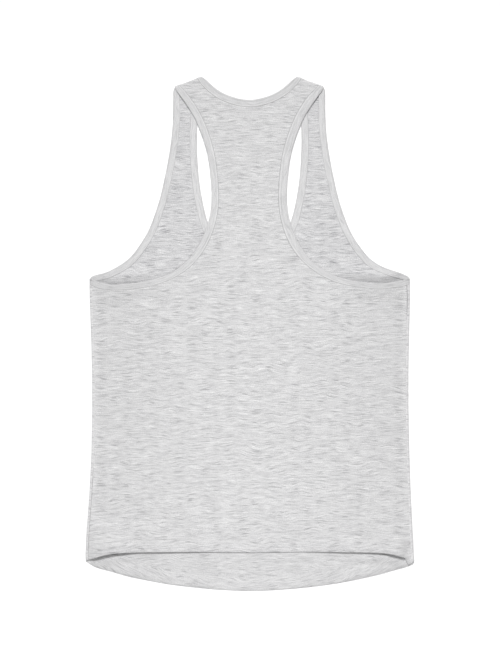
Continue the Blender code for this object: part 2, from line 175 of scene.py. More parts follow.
def in_steps(line: Array, steps: int, turn_weight: float = 30.0) -> Array:
    """The line again in a number of steps, which are shorter where it turns.

    Args:
        line: flat points.
        steps: how many steps to take.
        turn_weight: millimetres of length that one radian of turning counts as.

    Returns:
        One more point than there are steps.
    """
    travel = np.diff(line, axis=0)
    heading = np.unwrap(np.arctan2(travel[:, 1], travel[:, 0]))
    turning = np.abs(np.diff(heading, prepend=heading[0]))
    weights = np.linalg.norm(travel, axis=1) + turn_weight * turning
    along = np.concatenate(([0.0], np.cumsum(weights)))
    return sampled(line, along, np.linspace(0.0, along[-1], steps + 1))


def clipped(line: Array, past_start: Callable, past_end: Callable) -> Array:
    """The part of a line between two edges, with its ends exactly on them.

    Args:
        line: flat points.
        past_start: how far points lie past the edge that the line starts at.
        past_end: the same for the edge that it ends at.

    Returns:
        The points kept, with a new one at each end.
    """
    starts, ends = past_start(line), past_end(line)
    first = int(np.argmax(starts < 0.0))
    after = np.arange(len(line)) > first
    last = int(np.argmax((ends > 0.0) & after))

    def crossing(past: Array, i: int) -> Array:
        """Where the line meets the edge, between its points i - 1 and i."""
        share = past[i - 1] / (past[i - 1] - past[i])
        return (line[i - 1] + share * (line[i] - line[i - 1]))[None]

    return np.concatenate((crossing(starts, first), line[first:last], crossing(ends, last)))


def enclosed(ring: Array, points: Array) -> Array:
    """Find which points lie inside a closed ring.

    Args:
        ring: its corners in order.
        points: flat places.

    Returns:
        True for each point inside.
    """
    after = np.roll(ring, -1, axis=0)
    x, y = points[:, :1], points[:, 1:]
    crosses = (ring[:, 1] > y) != (after[:, 1] > y)
    rise = np.where(ring[:, 1] == after[:, 1], 1.0, after[:, 1] - ring[:, 1])
    meets = ring[:, 0] + (y - ring[:, 1]) * (after[:, 0] - ring[:, 0]) / rise
    return np.count_nonzero(crosses & (meets > x), axis=1) % 2 == 1


def nearest_on(line: Array, points: Array) -> tuple[Array, Array]:
    """Distance from each point to a dense line, and which of its places is nearest."""
    where = np.array([np.linalg.norm(line - point, axis=1).argmin() for point in points])
    return np.linalg.norm(line[where] - points, axis=1), where


@dataclass(frozen=True)
class Crease:
    """One soft ridge or trough, with its middle, reach, slant and rise."""

    across: float
    down: float
    length: float
    width: float
    slant: float
    rise: float

    def height(self, x: Array, down: Array) -> Array:
        """Find how far it lifts the cloth.

        Args:
            x: distances from the centre line.
            down: distances below the shoulder point.

        Returns:
            A rise for each place, in millimetres.
        """
        turn = math.radians(self.slant)
        right, below = x - self.across, down - self.down
        along = right * math.cos(turn) - below * math.sin(turn)
        over = right * math.sin(turn) + below * math.cos(turn)
        return self.rise * np.exp(-((over / self.width) ** 2) - (along / self.length) ** 4)


@dataclass(frozen=True)
class Rim:
    """Soft ridge of the lower layer beside an edge of the upper one, which shades it."""

    edge: Table  # out, down
    toward: float
    off: float
    width: float
    rises: Table  # across, rise

    def height(self, x: Array, down: Array) -> Array:
        """Find how far it lifts the cloth.

        Args:
            x: distances from the centre line.
            down: distances below the shoulder point.

        Returns:
            A rise for each place, in millimetres.
        """
        edge, rises = np.array(self.edge), np.array(self.rises)
        beside = self.toward * (down - np.interp(np.abs(x), edge[:, 0], edge[:, 1]))
        rise = np.interp(x, rises[:, 0], rises[:, 1])
        return rise * np.exp(-(((beside - self.off) / self.width) ** 2))


BACK_HEM_ROWS: Table = (  # across, down
    (0.0, 627.5),
    (60.0, 626.6),
    (115.0, 626.8),
    (152.0, 627.2),
    (183.0, 629.0),
    (203.0, 634.1),
    (216.0, 638.7),
)
UNDERARM_ROWS: Table = (  # out, down
    (94.0, 252.0),
    (119.0, 264.0),
    (146.4, 270.6),
    (171.0, 273.0),
    (192.0, 272.0),
    (207.0, 266.2),
)


@dataclass
class Draft:
    """The garment's outline, how it lies, and where its flat cut goes."""

    centre_down: float = 338.54
    wall: float = 1.0
    body_half_width: float = 210.0
    shoulder_down: float = -0.4
    shoulder_out: float = 61.0
    shoulder_slope: float = math.radians(19.0)
    shoulder_radius: float = 2.0
    loft_width: float = 75.0
    seam_inset: float = 3.3
    seam_gap: float = 0.3
    seam_ease: float = 2.0
    shift_ease: tuple[float, float] = (0.9, 2.0)  # added for each millimetre of shift: front, back
    calm_margin: float = 4.0
    calm_by_fold: float = 22.0
    calm_by_shoulder: float = 30.0
    hem_lift_from: float = 574.0
    hem_lift_over: float = 54.0
    overhang_from: float = 612.0
    overhang_over: float = 22.0
    side_gaps: Table = (  # down, groove of the left side seam, of the right one, its shift inward
        (255.0, 0.45, 1.1, 0.9),
        (275.0, 0.43, 1.1, 0.6),
        (290.0, 0.42, 1.3, 0.15),
        (304.0, 0.4, 1.15, 0.0),
        (324.0, 0.3, 0.6, 0.0),
        (350.0, 0.1, 0.1, 0.0),
        (470.0, 0.1, 0.0, 0.0),
        (530.0, 0.9, 0.0, 0.0),
        (650.0, 0.8, 0.0, 0.0),
    )
    side: Table = (  # down, half width of the outline, radius of the side fold
        (255.0, 210.0, 2.7),
        (280.0, 210.7, 2.5),
        (320.0, 210.0, 2.1),
        (380.0, 208.7, 1.9),
        (440.0, 208.6, 1.9),
        (505.0, 209.9, 2.0),
        (558.0, 211.8, 2.3),
        (600.0, 214.0, 2.5),
        (650.0, 216.4, 2.0),
    )
    back_level: Table = (  # down, height of the upper side of the back at the centre
        (0.0, 4.0),
        (26.0, 4.0),
        (80.0, 3.8),
        (200.0, 3.8),
        (300.0, 3.5),
        (420.0, 3.4),
        (540.0, 3.6),
        (640.0, 4.3),
    )
    hem_lift: Table = (  # across, how far the back hem stands off its plain level
        (-217.0, -0.2),
        (-213.5, -0.3),
        (-210.5, 0.2),
        (-206.0, 3.9),
        (-199.0, 5.7),
        (-187.0, 6.1),
        (-171.0, 4.3),
        (-151.0, 1.5),
        (-130.0, 1.1),
        (-100.0, 0.7),
        (-66.0, -0.3),
        (-40.0, -1.2),
        (0.0, -1.5),
        (52.0, -1.5),
        (92.0, -0.8),
        (124.0, 0.7),
        (150.0, 1.2),
        (170.0, 1.8),
        (184.0, 4.2),
        (192.0, 5.0),
        (199.0, 4.2),
        (203.5, 2.0),
        (207.0, -0.2),
        (211.5, -0.5),
        (214.0, -0.2),
        (217.0, -0.2),
    )
    rims: tuple[Rim, ...] = (
        Rim(
            UNDERARM_ROWS,
            -1.0,
            11.0,
            7.6,
            (
                (-206.0, 0.0),
                (-195.0, 2.3),
                (-168.0, 3.1),
                (-138.0, 2.4),
                (-116.0, 0.0),
                (114.0, 0.0),
                (136.0, 3.7),
                (164.0, 5.2),
                (194.0, 5.0),
                (208.0, 0.0),
            ),
        ),
        Rim(
            BACK_HEM_ROWS,
            1.0,
            7.5,
            4.5,
            (
                (-209.0, 0.0),
                (-196.0, 1.7),
                (-166.0, 1.2),
                (-120.0, 0.5),
                (-80.0, 0.0),
                (96.0, 0.0),
                (140.0, 0.6),
                (176.0, 1.4),
                (196.0, 1.7),
                (208.0, 0.0),
            ),
        ),
    )
    drift: Table = (  # down, shift across, spread at the side, shift towards the shoulders
        (-5.0, -1.0, 1.2, 0.5),
        (120.0, -1.1, 1.2, 0.4),
        (220.0, -1.0, 0.9, 0.2),
        (262.0, -0.5, 0.5, -0.3),
        (290.0, -0.2, 0.3, 0.0),
        (400.0, 0.35, 0.0, 0.2),
        (500.0, 0.5, 0.0, 0.4),
        (600.0, -0.5, 0.9, 0.9),
        (632.0, -0.4, 0.9, 1.0),
        (655.0, 0.4, 0.6, 1.1),
        (680.0, 0.0, 0.6, 0.4),
    )
    nudges: Table = (  # across, down, reach, shift across, shift towards the shoulders
        (-190.0, 254.0, 15.0, 0.0, -1.8),
        (-196.0, 276.0, 12.0, 0.0, 0.8),
        (190.0, 277.0, 16.0, 0.0, 3.0),
        (150.0, 277.0, 22.0, 0.0, 1.2),
        (-67.5, 1.5, 4.5, 0.0, 0.9),
        (67.5, 1.5, 4.5, 0.0, 0.9),
        (-60.5, -0.4, 2.5, 0.0, -0.5),
        (60.5, -0.4, 2.5, 0.0, -0.5),
        (-211.0, 644.0, 8.0, 0.7, 0.9),
        (-100.0, 12.0, 4.0, 0.9, -0.2),
        (100.0, 12.0, 4.0, -1.0, -0.2),
    )
    overhang: Table = (  # across, how far the upper side hangs over the right corner
        (204.8, 0.0),
        (206.0, 5.6),
        (207.2, 8.6),
        (208.6, 7.9),
        (210.8, 6.1),
        (213.0, 3.6),
        (214.6, 1.5),
        (216.5, 0.0),
    )
    upper_creases: tuple[Crease, ...] = (
        Crease(-163.0, 270.0, 42.0, 21.0, 4.0, 3.6),
        Crease(165.0, 270.0, 41.0, 22.0, -5.0, 3.8),
        Crease(-92.0, 330.0, 70.0, 16.0, -24.0, 0.35),
        Crease(104.0, 352.0, 62.0, 19.0, 31.0, 0.30),
        Crease(-36.0, 452.0, 90.0, 24.0, 9.0, 0.28),
        Crease(128.0, 468.0, 74.0, 18.0, -16.0, -0.30),
        Crease(-132.0, 508.0, 66.0, 17.0, 21.0, 0.34),
        Crease(44.0, 566.0, 84.0, 20.0, -7.0, 0.30),
        Crease(-6.0, 238.0, 38.0, 15.0, 12.0, -0.25),
        Crease(16.0, 118.0, 30.0, 17.0, -14.0, 0.22),
    )
    lower_creases: tuple[Crease, ...] = (
        Crease(-118.0, 214.0, 26.0, 9.0, 32.0, 0.45),
        Crease(119.0, 206.0, 30.0, 10.0, -37.0, 0.40),
        Crease(-150.0, 655.0, 40.0, 8.0, 13.0, 0.9),
        Crease(163.0, 654.0, 34.0, 7.0, -14.0, 0.7),
        Crease(-20.0, 662.0, 88.0, 9.0, -3.0, 0.25),
        Crease(96.0, 330.0, 80.0, 21.0, -18.0, 0.55),
        Crease(-70.0, 410.0, 96.0, 23.0, 14.0, 0.50),
        Crease(38.0, 520.0, 70.0, 19.0, -29.0, 0.45),
        Crease(-128.0, 560.0, 60.0, 17.0, 8.0, 0.40),
    )
    width_line: Array = field(init=False)
    radius_line: Array = field(init=False)
    level_line: Array = field(init=False)
    lift_line: Array = field(init=False)
    along_shoulder: Array = field(init=False)
    over_shoulder: Array = field(init=False)
    shoulder_axis: Array = field(init=False)

    def __post_init__(self) -> None:
        """Draw the curves through the tables and set out the shoulder fold."""
        self.width_line = smooth_line([row[:2] for row in self.side])
        self.radius_line = smooth_line([(row[0], row[2]) for row in self.side])
        self.level_line = smooth_line(self.back_level)
        self.lift_line = smooth_line(self.hem_lift)
        slope = self.shoulder_slope
        self.along_shoulder = np.array((math.cos(slope), -math.sin(slope)))
        self.over_shoulder = np.array((math.sin(slope), math.cos(slope)))
        point = np.array((self.shoulder_out, self.centre_down - self.shoulder_down))
        self.shoulder_axis = point - self.shoulder_radius * self.over_shoulder

    def read(self, line: Array, y: Array | float) -> Array:
        """Value of a line of (down, value) at these heights."""
        return np.interp(self.centre_down - np.asarray(y), line[:, 0], line[:, 1])

    def half_width(self, y: Array | float) -> Array:
        """Half the width of the outline."""
        return self.read(self.width_line, y)

    def fold_radius(self, y: Array | float) -> Array:
        """Outer radius of the side fold."""
        return self.read(self.radius_line, y)

    def fold_start(self, y: Array | float) -> Array:
        """Distance from the centre line where the side fold starts to turn."""
        return self.half_width(y) - self.fold_radius(y)

    def seam_place(self, y: Array | float) -> Array:
        """Distance of the side seam from the centre line."""
        return self.half_width(y) - self.seam_inset

    def front_seam(self, y: Array | float) -> Array:
        """The front's cut edge at the side seam, in its flat cut."""
        start, turn = self.fold_start(y), math.pi * self.fold_radius(y)
        return start + turn + start - self.seam_place(y) - self.seam_gap / 2.0

    def back_seam(self, y: Array | float) -> Array:
        """The back's cut edge at the side seam, in its flat cut."""
        return self.seam_place(y) - self.seam_gap / 2.0

    def seam_moves(self, flat: Array) -> tuple[Array, Array]:
        """Find how the cut edges lie at the side seams.

        Args:
            flat: places in a flat cut.

        Returns:
            How far the cloth stands back from each place's own seam, and how far
            inward of its draft that seam lies.
        """
        rows, down = np.array(self.side_gaps), self.centre_down - flat[:, 1]
        left, right, shift = sampled(rows[:, 1:], rows[:, 0], down).T
        on_left = flat[:, 0] < 0.0
        pull = (np.where(on_left, left, right) - self.seam_gap) / 2.0
        return pull, np.where(on_left, 0.0, shift)

    def past_shoulder(self, points: Array) -> Array:
        """How far flat points lie past the start of the shoulder fold."""
        return (np.asarray(points) - self.shoulder_axis) @ self.over_shoulder

    def past_side(self, points: Array) -> Array:
        """How far flat points lie past the start of the side fold."""
        return points[:, 0] - self.fold_start(points[:, 1])

    def on_shoulder(self, x: Array, y: Array) -> Array:
        """Which flat points lie past the start of the shoulder fold."""
        past = self.past_shoulder(np.stack((x, y), axis=-1))
        return (past > 0.0) & (y > self.shoulder_axis[1] - self.shoulder_out)

    def calm(self, x: Array, y: Array) -> Array:
        """Find how freely creases may rise.

        Args:
            x: distances from the centre line.
            y: heights in the cut.

        Returns:
            1 in the open cloth and 0 at the side folds and the shoulders.
        """
        from_fold = self.calm_margin + self.fold_start(y) - x
        from_shoulder = -self.past_shoulder(np.stack((x, y), axis=-1))
        return eased(from_fold / self.calm_by_fold) * eased(from_shoulder / self.calm_by_shoulder)

    def upper_height(self, x: Array, y: Array) -> Array:
        """Find how high the upper side of the back lies, creases included.

        Args:
            x: places across the garment.
            y: heights in the cut.

        Returns:
            Heights over the surface.
        """
        side, down = np.abs(x), self.centre_down - y
        level = self.read(self.level_line, y)
        near_fold = eased(1.0 - (self.fold_start(y) - side) / self.loft_width)
        near_arm = eased(1.0 - (self.side[0][0] - down) / self.loft_width)
        level = level + (2.0 * self.fold_radius(y) - level) * near_fold * near_arm
        lift = np.interp(x, self.lift_line[:, 0], self.lift_line[:, 1])
        level = level + lift * eased((down - self.hem_lift_from) / self.hem_lift_over)
        creases = sum(crease.height(x, down) for crease in self.upper_creases)
        return level + creases * self.calm(side, y)

    def corner_drop(self, x: Array, y: Array) -> Array:
        """Find how far the upper side hangs down over the hem's right corner.

        Args:
            x: places across the garment.
            y: heights in the cut.

        Returns:
            Distances towards the hem.
        """
        rows, down = np.array(self.overhang), self.centre_down - y
        near_hem = eased((down - self.overhang_from) / self.overhang_over)
        return np.interp(x, rows[:, 0], rows[:, 1]) * near_hem

    def lower_lift(self, x: Array, y: Array) -> Array:
        """Find how far the creases of the front stand off the surface.

        Args:
            x: places across the garment.
            y: heights in the cut.

        Returns:
            Heights.
        """
        folds = self.lower_creases + self.rims
        creases = sum(fold.height(x, self.centre_down - y) for fold in folds)
        return creases * self.calm(np.abs(x), y)

    def settle(self, points: Array) -> Array:
        """Let the laid garment stray a little from its symmetric draft.

        Args:
            points: places in space, in millimetres.

        Returns:
            The same places, moved across and along the surface.
        """
        rows = np.array(self.drift)
        down = self.centre_down - points[:, 1]
        across, spread, along = sampled(rows[:, 1:], rows[:, 0], down).T
        moved = points.copy()
        moved[:, 0] += across + spread * points[:, 0] / self.body_half_width
        moved[:, 1] += along
        for x, below, reach, right, up in self.nudges:
            far = (points[:, 0] - x) ** 2 + (down - below) ** 2
            near = np.exp(-far / reach**2)
            moved[:, :2] += near[:, None] * (right, up)
        return moved

    def front_by_side(self, flat: Array, depth: Array, tuck: Array) -> tuple[Array, ...]:
        """Lay the front down and wrap it round the side fold, up to its seam.

        Args:
            flat: places in the flat cut.
            depth: how deep each lies in the cloth, from its right side.
            tuck: how far each is lifted to run into a binding.

        Returns:
            Distances from the centre line, heights, and how far each is turned over, 0 to 1.
        """
        x, y = np.abs(flat[:, 0]), flat[:, 1]
        pull, shift = self.seam_moves(flat)
        over, radius = x - self.fold_start(y), self.fold_radius(y)
        angle = np.clip(over / radius, 0.0, math.pi)
        beyond = np.maximum(over - math.pi * radius, 0.0)
        turned = self.fold_start(y) + (radius - depth) * np.sin(angle) - beyond
        height = radius - (radius - depth) * np.cos(angle)
        height += (tuck + self.lower_lift(flat[:, 0], y)) * (1.0 + np.cos(angle)) / 2.0
        ease = self.seam_ease + self.shift_ease[0] * shift
        near_seam = eased(1.0 - (turned - self.seam_place(y)) / ease) * (angle > math.pi / 2.0)
        out = np.where(over > 0.0, turned, x) + (pull - shift) * near_seam
        return out, height, (1.0 - np.cos(angle)) / 2.0

    def back_by_side(self, flat: Array, depth: Array) -> tuple[Array, ...]:
        """Lay the back down on the front, up to its side seam.

        Args:
            flat: places in the flat cut.
            depth: how deep each lies in the cloth, from its right side.

        Returns:
            Distances from the centre line, heights, and 1 for each, as all of it is uppermost.
        """
        x, y = np.abs(flat[:, 0]), flat[:, 1]
        pull, shift = self.seam_moves(flat)
        ease = self.seam_ease + self.shift_ease[1] * shift
        near_seam = eased(1.0 - (self.seam_place(y) - x) / ease)
        height = self.upper_height(flat[:, 0], y) - depth
        return x - (pull + shift) * near_seam, height, np.ones(len(x))

    def place(self, layer: Layer, flat: Array, depth: Array, tuck: Array) -> Array:
        """Find where points of a flat cut go in the laid garment.

        Args:
            layer: the front, which is the lower one, or the back.
            flat: places in the flat cut.
            depth: how deep each lies in the cloth, from its right side.
            tuck: how far each is lifted to run into a binding of the front.

        Returns:
            Places in space, in millimetres.
        """
        hand = np.where(flat[:, 0] < 0.0, -1.0, 1.0)
        x, y = np.abs(flat[:, 0]), flat[:, 1]
        past = self.past_shoulder(np.stack((x, y), axis=-1))
        angle = past / self.shoulder_radius
        radius = self.shoulder_radius - depth
        reach = radius * np.sin(angle) - past
        rise = self.shoulder_radius - radius * np.cos(angle)
        if layer is Layer.LOWER:
            out, height, upper = self.front_by_side(flat, depth, tuck)
            rise += tuck * (1.0 + np.cos(angle)) / 2.0
        else:
            out, height, upper = self.back_by_side(flat, depth)
            rise = 2.0 * self.shoulder_radius - rise
        along = y - upper * self.corner_drop(hand * out, y)
        folded = self.on_shoulder(x, y)
        out = np.where(folded, x + self.over_shoulder[0] * reach, out)
        along = np.where(folded, y + self.over_shoulder[1] * reach, along)
        return np.stack((hand * out, along, np.where(folded, rise, height)), axis=1)


DRAFT = Draft()


def past_centre(points: Array) -> Array:
    """How far flat points lie past the centre line, from the right."""
    return -points[:, 0]


@dataclass(frozen=True)
class BoundEdge:
    """One edge that is bound, from the shoulder to the centre line or the side."""

    table: Table
    into: float
    layer: Layer
    steps: int

    def facing(self, edge: Array, distance: float) -> Array:
        """Find the places, some way in, that face each place of the finished edge.

        Args:
            edge: the finished edge in this edge's steps.
            distance: how far in, in millimetres.

        Returns:
            One place for each, straight across except close to the ends.
        """
        finer = 10
        line = self.at(distance, finer)
        across = nearest_on(line, edge)[1]
        in_turn = np.arange(len(edge)) * finer
        ends = np.linalg.norm(edge - edge[0], axis=1), np.linalg.norm(edge - edge[-1], axis=1)
        at_end = np.exp(-((np.minimum(*ends) / distance) ** 2))
        where = np.maximum.accumulate(across + (in_turn - across) * at_end)
        return sampled(line, np.arange(len(line)), where)

    def at(self, distance: float, finer: int = 1) -> Array:
        """Draw a line beside the finished edge.

        Args:
            distance: how far in it lies.
            finer: how many times finer than this edge's steps it is.

        Returns:
            Flat points, from the start of the shoulder fold to the edge's other end.
        """
        rows = [(out, DRAFT.centre_down - down) for down, out in self.table]
        past_end = DRAFT.past_side
        if rows[-1][0] == 0.0:
            rows += [(-x, y) for x, y in reversed(rows[:-1])]
            past_end = past_centre
        moved = shifted(smooth_line(rows), self.into * distance)
        return in_steps(clipped(moved, DRAFT.past_shoulder, past_end), self.steps * finer)

    def whole(self) -> Array:
        """The finished edge as a dense line, past both of its ends."""
        return smooth_line([(out, DRAFT.centre_down - down) for down, out in self.table])


BACK_NECK = BoundEdge(
    (  # down, out
        (-5.0, 62.6),
        (0.3, 59.4),
        (6.5, 53.9),
        (13.2, 46.4),
        (19.0, 38.4),
        (24.2, 28.0),
        (28.3, 15.0),
        (30.2, 0.0),
    ),
    1.0,
    Layer.UPPER,
    34,
)
FRONT_NECK = BoundEdge(
    (  # down, out
        (-6.0, 59.8),
        (1.0, 60.1),
        (30.0, 64.6),
        (66.0, 68.0),
        (100.0, 68.1),
        (136.0, 65.5),
        (160.0, 61.8),
        (190.0, 54.6),
        (209.0, 44.0),
        (221.0, 28.0),
        (225.6, 12.0),
        (226.2, 0.0),
    ),
    1.0,
    Layer.LOWER,
    96,
)
BACK_ARM = BoundEdge(
    (  # down, out
        (9.0, 103.0),
        (15.4, 98.0),
        (26.4, 89.6),
        (44.0, 77.6),
        (64.0, 67.2),
        (96.0, 56.4),
        (124.0, 51.6),
        (155.2, 49.5),
        (184.0, 52.1),
        (212.0, 61.4),
        (234.0, 74.6),
        (252.0, 94.0),
        (264.0, 119.0),
        (270.6, 146.4),
        (273.0, 171.0),
        (272.0, 192.0),
        (266.2, 207.0),
        (260.0, 216.0),
    ),
    -1.0,
    Layer.UPPER,
    110,
)
FRONT_ARM = BoundEdge(
    (  # down, out
        (6.0, 99.4),
        (15.4, 99.8),
        (54.0, 100.2),
        (83.0, 102.4),
        (109.6, 106.4),
        (136.0, 111.6),
        (162.4, 118.0),
        (188.8, 126.8),
        (208.0, 135.4),
        (228.4, 149.0),
        (243.0, 163.4),
        (253.8, 184.4),
        (260.9, 206.0),
        (263.6, 216.0),
    ),
    -1.0,
    Layer.LOWER,
    100,
)


@dataclass
class Hem:
    """A curved hem with its turned-in allowance and its two needle rows."""

    table: Table  # across, down
    allowance: float = 22.0
    step: float = 0.35
    needles: tuple[float, float] = (16.1, 22.9)
    groove: float = 0.9
    line: Array = field(init=False)

    def __post_init__(self) -> None:
        """Draw the curve from left to right."""
        right = [(x, DRAFT.centre_down - down) for x, down in self.table[::-1]]
        left = [(-x, y) for x, y in reversed(right[:-1])]
        self.line = smooth_line(right + left)[::-1]

    def height(self, x: Array | float) -> Array:
        """Height of the hem curve at this distance from the centre line."""
        return np.interp(x, self.line[:, 0], self.line[:, 1])

    def meeting(self, across: Callable) -> Array:
        """Find where a side edge meets the hem curve.

        Args:
            across: the edge's distance from the centre line, as a function of height.

        Returns:
            The flat point.
        """
        y = self.line[-1][1]
        for _ in range(6):
            y = float(self.height(across(y)))
        return np.array((float(across(y)), y))

    def inward(self, distance: float, across: Callable, spacing: float) -> Array:
        """Draw a line inside the hem, from the centre to the side seam.

        Args:
            distance: how far from the finished hem.
            across: the side edge, as a function of height.
            spacing: distance from point to point.

        Returns:
            Flat points of the right half.
        """
        moved = shifted(self.line, distance)
        right = moved[moved[:, 0] > -TINY]
        right = right[: int(np.argmax(right[:, 0] > across(right[:, 1]))) + 1]
        kept = evenly(right, spacing)
        kept[0, 0] = 0.0
        kept[-1, 0] = across(kept[-1, 1])
        return kept

    def feature_distances(self) -> list[float]:
        """List where the mesh needs its own rows: needle rows, raw edge and its step.

        Returns:
            Distances from the finished hem.
        """
        near, far = self.needles
        rows = [near - self.groove, near, near + self.groove, self.allowance]
        return rows + [self.allowance + self.step, far, far + self.groove]


FRONT_HEM = Hem(
    (
        (0.0, 677.3),
        (35.0, 676.2),
        (70.0, 673.3),
        (104.0, 669.3),
        (138.0, 663.4),
        (168.0, 656.4),
        (192.0, 650.0),
        (206.5, 645.8),
        (213.0, 642.2),
        (218.0, 638.6),
        (225.0, 638.0),
    )
)
BACK_HEM = Hem(BACK_HEM_ROWS)


class Sock:
    """A shader socket that ordinary arithmetic works on."""

    def __init__(self, board: "Board", socket: bpy.types.NodeSocket) -> None:
        """Wrap an output socket of one of the board's nodes."""
        self.board = board
        self.socket = socket

    def _math(self, operation: str, first: "Sock | float", second: "Sock | float") -> "Sock":
        """Result of a Math node on two values."""
        inputs = {0: first, 1: second}
        return self.board.node("ShaderNodeMath", {"operation": operation}, inputs)

    def __add__(self, other: "Sock | float") -> "Sock":
        """Sum."""
        return self._math("ADD", self, other)

    def __sub__(self, other: "Sock | float") -> "Sock":
        """Difference."""
        return self._math("SUBTRACT", self, other)

    def __rsub__(self, other: float) -> "Sock":
        """Difference from a number."""
        return self._math("SUBTRACT", other, self)

    def __mul__(self, other: "Sock | float") -> "Sock":
        """Product."""
        return self._math("MULTIPLY", self, other)

    __radd__ = __add__
    __rmul__ = __mul__

    def absolute(self) -> "Sock":
        """The value without its sign."""
        return self._math("ABSOLUTE", self, 0.0)

    def sine(self) -> "Sock":
        """Sine of an angle in radians."""
        return self._math("SINE", self, 0.0)

    def at_least(self, low: float) -> "Sock":
        """The value, but no less than this."""
        return self._math("MAXIMUM", self, low)

    def between(self, low: float, high: float) -> "Sock":
        """0 up to `low`, 1 from `high`, and smooth from one to the other."""
        inputs = {"Value": self, "From Min": low, "From Max": high}
        return self.board.node("ShaderNodeMapRange", {"interpolation_type": "SMOOTHSTEP"}, inputs)

    def line_at(self, centre: float, width: float) -> "Sock":
        """1 at a value, falling to 0 at this distance from it."""
        return 1.0 - (self - centre).absolute().between(0.0, width)


class Board:
    """A new material's nodes, all added in one way."""

    def __init__(self, name: str) -> None:
        """Start from the usual shader and output.

        Args:
            name: the material's name.
        """
        self.material = bpy.data.materials.new(name)
        self.material.use_nodes = True
        self.tree = self.material.node_tree
        self.shader = self.tree.nodes["Principled BSDF"]

    def node(
        self,
        kind: str,
        settings: Mapping[str, object] | None = None,
        inputs: Mapping[int | str, object] | None = None,
        output: int | str = 0,
    ) -> Sock:
        """Add a node.

        Args:
            kind: the node's type.
            settings: its own properties, which are set first.
            inputs: values or links of its sockets.
            output: which output to hand back.

        Returns:
            That output.
        """
        made = self.tree.nodes.new(kind)
        for name, value in (settings or {}).items():
            setattr(made, name, value)
        for key, value in (inputs or {}).items():
            self.feed(made.inputs[key], value)
        return Sock(self, made.outputs[output])

    def feed(self, socket: bpy.types.NodeSocket, value: object) -> None:
        """Link a socket, or set its value.

        Args:
            socket: an input of a node.
            value: an output of another node, or a value of its own.
        """
        if isinstance(value, Sock):
            self.tree.links.new(value.socket, socket)
        else:
            socket.default_value = value

    def part(self, vector: Sock, axis: str) -> Sock:
        """One coordinate of a vector."""
        return self.node("ShaderNodeSeparateXYZ", inputs={0: vector}, output=axis)

    def scaled(self, vector: Sock, factor: float) -> Sock:
        """A vector made this many times longer."""
        inputs = {0: vector, "Scale": factor}
        return self.node("ShaderNodeVectorMath", {"operation": "SCALE"}, inputs)

    def paint(self, red: Sock, green: Sock, blue: Sock) -> None:
        """Give the shader its base colour.

        Args:
            red: the colour's red share.
            green: its green share.
            blue: its blue share.
        """
        inputs = {"Red": red, "Green": green, "Blue": blue}
        colour = self.node("ShaderNodeCombineColor", inputs=inputs)
        self.feed(self.shader.inputs["Base Color"], colour)

    def emboss(self, height: Sock, strength: float, distance: float) -> None:
        """Give the shader its bump, of so many millimetres."""
        inputs = {"Height": height, "Strength": strength, "Distance": distance * MM}
        self.feed(self.shader.inputs["Normal"], self.node("ShaderNodeBump", inputs=inputs))

    def give(self, values: Mapping[str, object]) -> None:
        """Set what is the same all over on the shader's own sockets."""
        for name, value in values.items():
            self.shader.inputs[name].default_value = value

    def noise(self, place: Sock, reach: tuple[float, float], shift: float, detail: float) -> Sock:
        """Stretched flat noise.

        Args:
            place: where on the cloth, in millimetres.
            reach: length of its marks along and across the yarn.
            shift: moves the pattern, so that no two are alike.
            detail: octaves.

        Returns:
            Values about 0.5.
        """
        scaled = self.node(
            "ShaderNodeVectorMath",
            {"operation": "MULTIPLY_ADD"},
            {0: place, 1: (1.0 / reach[0], 1.0 / reach[1], 0.0), 2: (shift, -shift, 0.0)},
        )
        inputs = {"Vector": scaled, "Scale": 1.0, "Detail": detail, "Roughness": 0.55}
        return self.node("ShaderNodeTexNoise", {"noise_dimensions": "2D"}, inputs)


@dataclass(frozen=True)
class Fibre:
    """One kind of mark that fibre leaves in a jersey: its size, pattern and weight."""

    length: float
    width: float
    shift: float
    detail: float
    weight: float
    span: tuple[float, float] | None = None  # noise that shows none of it, and all of it

    def shade(self, board: Board, laid: Sock, seed: float) -> Sock:
        """Find how much it adds to the cloth's tone, or to its relief.

        Args:
            board: the finish's nodes.
            laid: place along and across the yarn, in millimetres.
            seed: moves the pattern.

        Returns:
            The pattern times its weight.
        """
        pattern = board.noise(laid, (self.length, self.width), seed + self.shift, self.detail)
        if self.span is None:
            return (pattern - 0.5) * self.weight
        return pattern.between(*self.span) * self.weight


HEATHER: tuple[Fibre, ...] = (
    Fibre(21.0, 1.2, 11.0, 2.0, 0.55),
    Fibre(8.5, 0.85, 23.0, 1.0, 0.30),
    Fibre(40.0, 5.0, 37.0, 2.0, 0.28),
    Fibre(1.15, 0.95, 83.0, 1.0, 0.62),
    Fibre(17.0, 1.2, 51.0, 1.0, -0.36, (0.56, 0.78)),
    Fibre(16.0, 1.6, 67.0, 1.0, 0.10, (0.60, 0.82)),
)
# Painted highlights and shade across a binding: rows that make it lighter are painted highlight on
# its raised roll and ridge, rows that make it darker are painted shade in its dip, in its groove
# and where its edge rolls over.
BINDING_LIGHT_AND_SHADE: Table = (  # place across the strip, reach, how much lighter it is there
    (4.0, 1.8, 0.035),
    (5.8, 1.0, -0.035),
    (7.2, 0.9, 0.12),
    (8.5, 0.65, -0.40),
    (9.9, 0.5, -0.16),
    (16.9, 1.4, -0.11),
)


